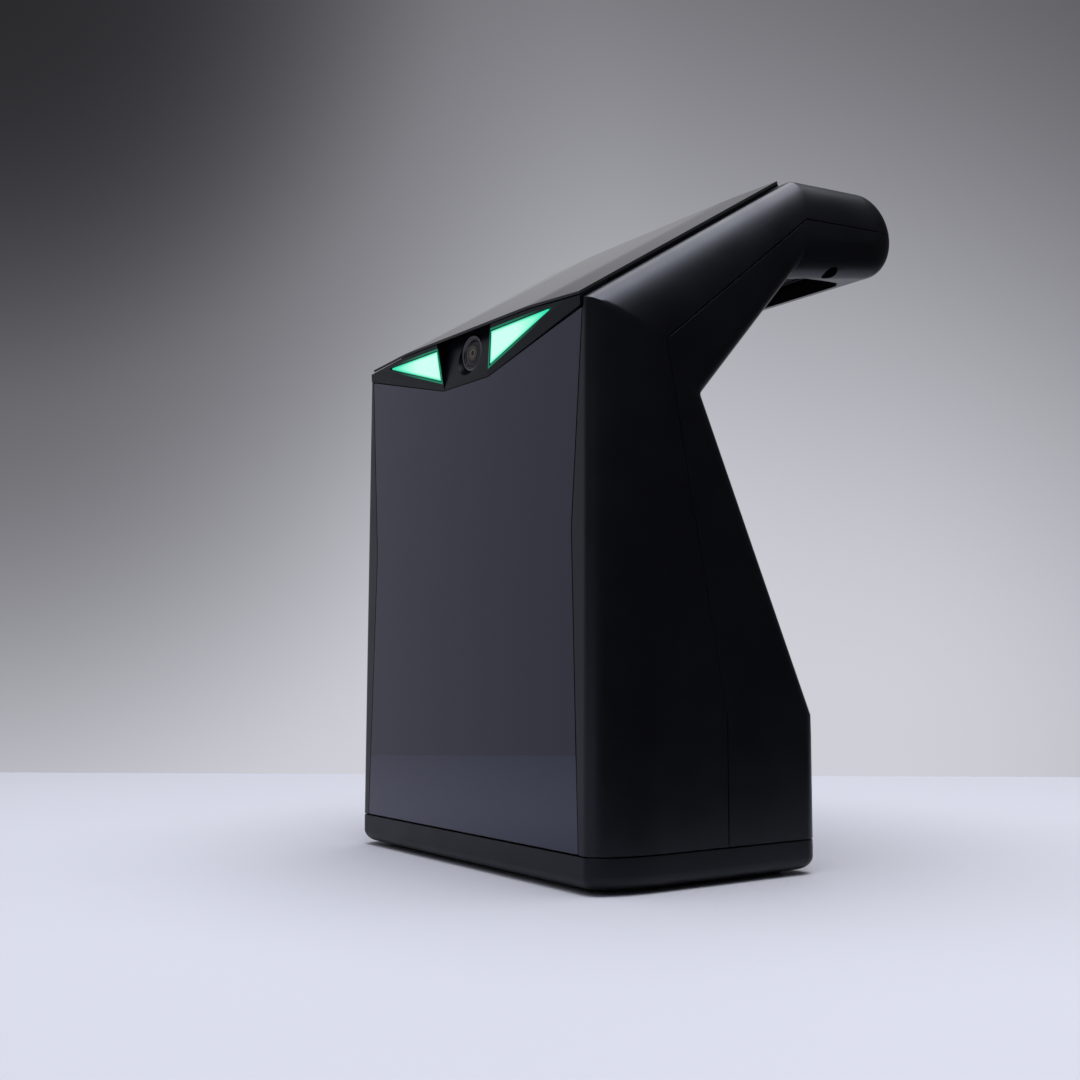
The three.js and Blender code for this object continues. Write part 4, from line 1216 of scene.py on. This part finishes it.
PIECES = (
    base_tray, foot_pad, front_window, brow_bezel, brow_lens_ring, brow_lens_glass,
    display_glass, display_frame, handle_grip_pad, power_button, port_cover,
)
SCREWS = {
    **{f"base_screw_{number}": BASE_SHANK for number in range(1, 5)},
    **{f"handle_screw_{hand}": HANDLE_SHANK for hand in ("left", "right")},
}

for shell, node in zip(shells(), ("front_shell", "rear_shell")):
    add(shell, node)
for piece in PIECES:
    add(piece(), piece.__name__)
for side, node in ((-1, "eye_lens_left"), (1, "eye_lens_right")):
    add(eye_lens(side), node)
for node, shank in SCREWS.items():
    add(screw(node, shank), node)
finish_nodes()


# ---------- stage and light ----------
FLOOR_CORNER = np.array((-0.6025, -0.2318))
FLOOR_EDGES = (np.array((0.577, 0.817)), np.array((0.577, -0.817)))
FLOOR_REACH = 3.2
FLAG_X = 0.135
FLAG_Y = (-0.12, 0.5)
FLAG_TOP = 0.24
MIDDLE = (0, 0, 0.1)


def sheet(name, corners, material):
    """A flat sheet of the stage."""
    mesh = bpy.data.meshes.new(name)
    mesh.from_pydata(corners, [], [tuple(range(len(corners)))])
    mesh.materials.append(material)
    piece = bpy.data.objects.new(name, mesh)
    bpy.context.scene.collection.objects.link(piece)
    return piece


def floor():
    """A pale floor with its far corner behind the body."""
    a, b = FLOOR_EDGES
    near = FLOOR_CORNER + FLOOR_REACH * (a + b)
    corners = [FLOOR_CORNER, FLOOR_CORNER + FLOOR_REACH * b, near, FLOOR_CORNER + FLOOR_REACH * a]
    made = Finish("floor_paper", (0.735, 0.745, 0.79), 0.75).mottle(3, 0.985, 1.015)
    made.bump(made.noise(900, 2), 1e-5)
    sheet("floor", [(x, y, CAD_BOX[0].z) for x, y in corners], made.material)


def flag():
    """A dark card beside the body, which only reflections see: it keeps the floor out of the side's gloss."""
    near, far = FLAG_Y
    corners = [(FLAG_X, near, 0), (FLAG_X, near, FLAG_TOP), (FLAG_X, far, FLAG_TOP), (FLAG_X, far, 0)]
    card = sheet("flag", corners, Finish("flag_felt", (0.03, 0.03, 0.033), 0.9).mottle(8, 0.9, 1.1).material)
    card.visible_camera = card.visible_diffuse = card.visible_shadow = card.visible_transmission = False


def softbox(name, where, size, glow, tone=(1.0, 1.0, 1.0), gloss_only=False):
    """A soft panel of even brightness that faces the body and that the camera doesn't see."""
    lamp = bpy.data.lights.new(name, "AREA")
    lamp.shape = "RECTANGLE"
    lamp.size, lamp.size_y = size
    lamp.energy = glow * math.pi * size[0] * size[1]
    lamp.color = tone
    panel = bpy.data.objects.new(name, lamp)
    bpy.context.scene.collection.objects.link(panel)
    panel.location = where
    panel.rotation_euler = (Vector(MIDDLE) - Vector(where)).to_track_quat("-Z", "Y").to_euler()
    panel.visible_camera = False
    panel.visible_diffuse = not gloss_only


def surroundings():
    """A grey studio: bright low down behind and to the left, dark above and to the right."""
    world = bpy.data.worlds.new("studio")
    world.use_nodes = True
    bpy.context.scene.world = world
    made = Nodes(world.node_tree)
    way = made.coordinates.outputs["Generated"]

    def towards(direction, low, high, to_low, to_high):
        return made.spread(made.along(way, direction), low, high, to_low, to_high, "SMOOTHSTEP")

    leftward = towards((-1, 0, 0), 0.1, 0.65, 0.05, 1.0)
    low_down = towards((0, 0.35, 0.94), 0.24, 0.76, 1.0, 0.2)
    left = towards((-0.94, 0.16, 0.31), 0.88, 1.02, 1.0, 0.13)
    corner = towards((-0.85, 0.12, 0.51), 0.93, 1.0, 1.0, 0.12)
    front = towards((0, 1, 0), -0.7, -0.1, 0.78, 1.0)
    share = made.times(leftward, low_down, left, corner, front)
    wall = made.mix(share, (0.012, 0.012, 0.014), (0.62, 0.62, 0.68))
    overhead = towards((0.1, -0.25, 0.96), 0.6, 1.0, 0.0, 1.0)
    background = made.tree.nodes["Background"]
    made.link(made.mix(overhead, wall, (0.8, 0.82, 0.95)), background.inputs["Color"])
    background.inputs["Strength"].default_value = 1.0


CAMERA_PLACE = (0.39624, -0.31879, 0.0697)
CAMERA_AXES = ((0.5770, 0.8167, 0.0043), (0.0776, -0.0601, 0.9952), (0.81297, -0.57398, -0.0981))
LENS = 43.357


def camera():
    data = bpy.data.cameras.new("camera")
    data.sensor_width = 36
    data.lens = LENS
    data.clip_start = 0.01
    made = bpy.data.objects.new("camera", data)
    bpy.context.scene.collection.objects.link(made)
    made.matrix_world = Matrix.Translation(CAMERA_PLACE) @ Matrix(CAMERA_AXES).transposed().to_4x4()
    bpy.context.scene.camera = made


floor()
surroundings()
softbox("overhead", (0.12, 0.05, 1.3), (1.4, 1.0), 3.55, (0.94, 0.945, 1.0))
softbox("rear_left", (-1.4, 0.8, 0.85), (1.9, 0.75), 0.1)
softbox("shoulder_light", (0.6, 0.12, 1.2), (0.5, 0.5), 3.0, (0.85, 0.88, 1.0), gloss_only=True)
flag()
camera()
bpy.context.scene.view_settings.view_transform = "Standard"
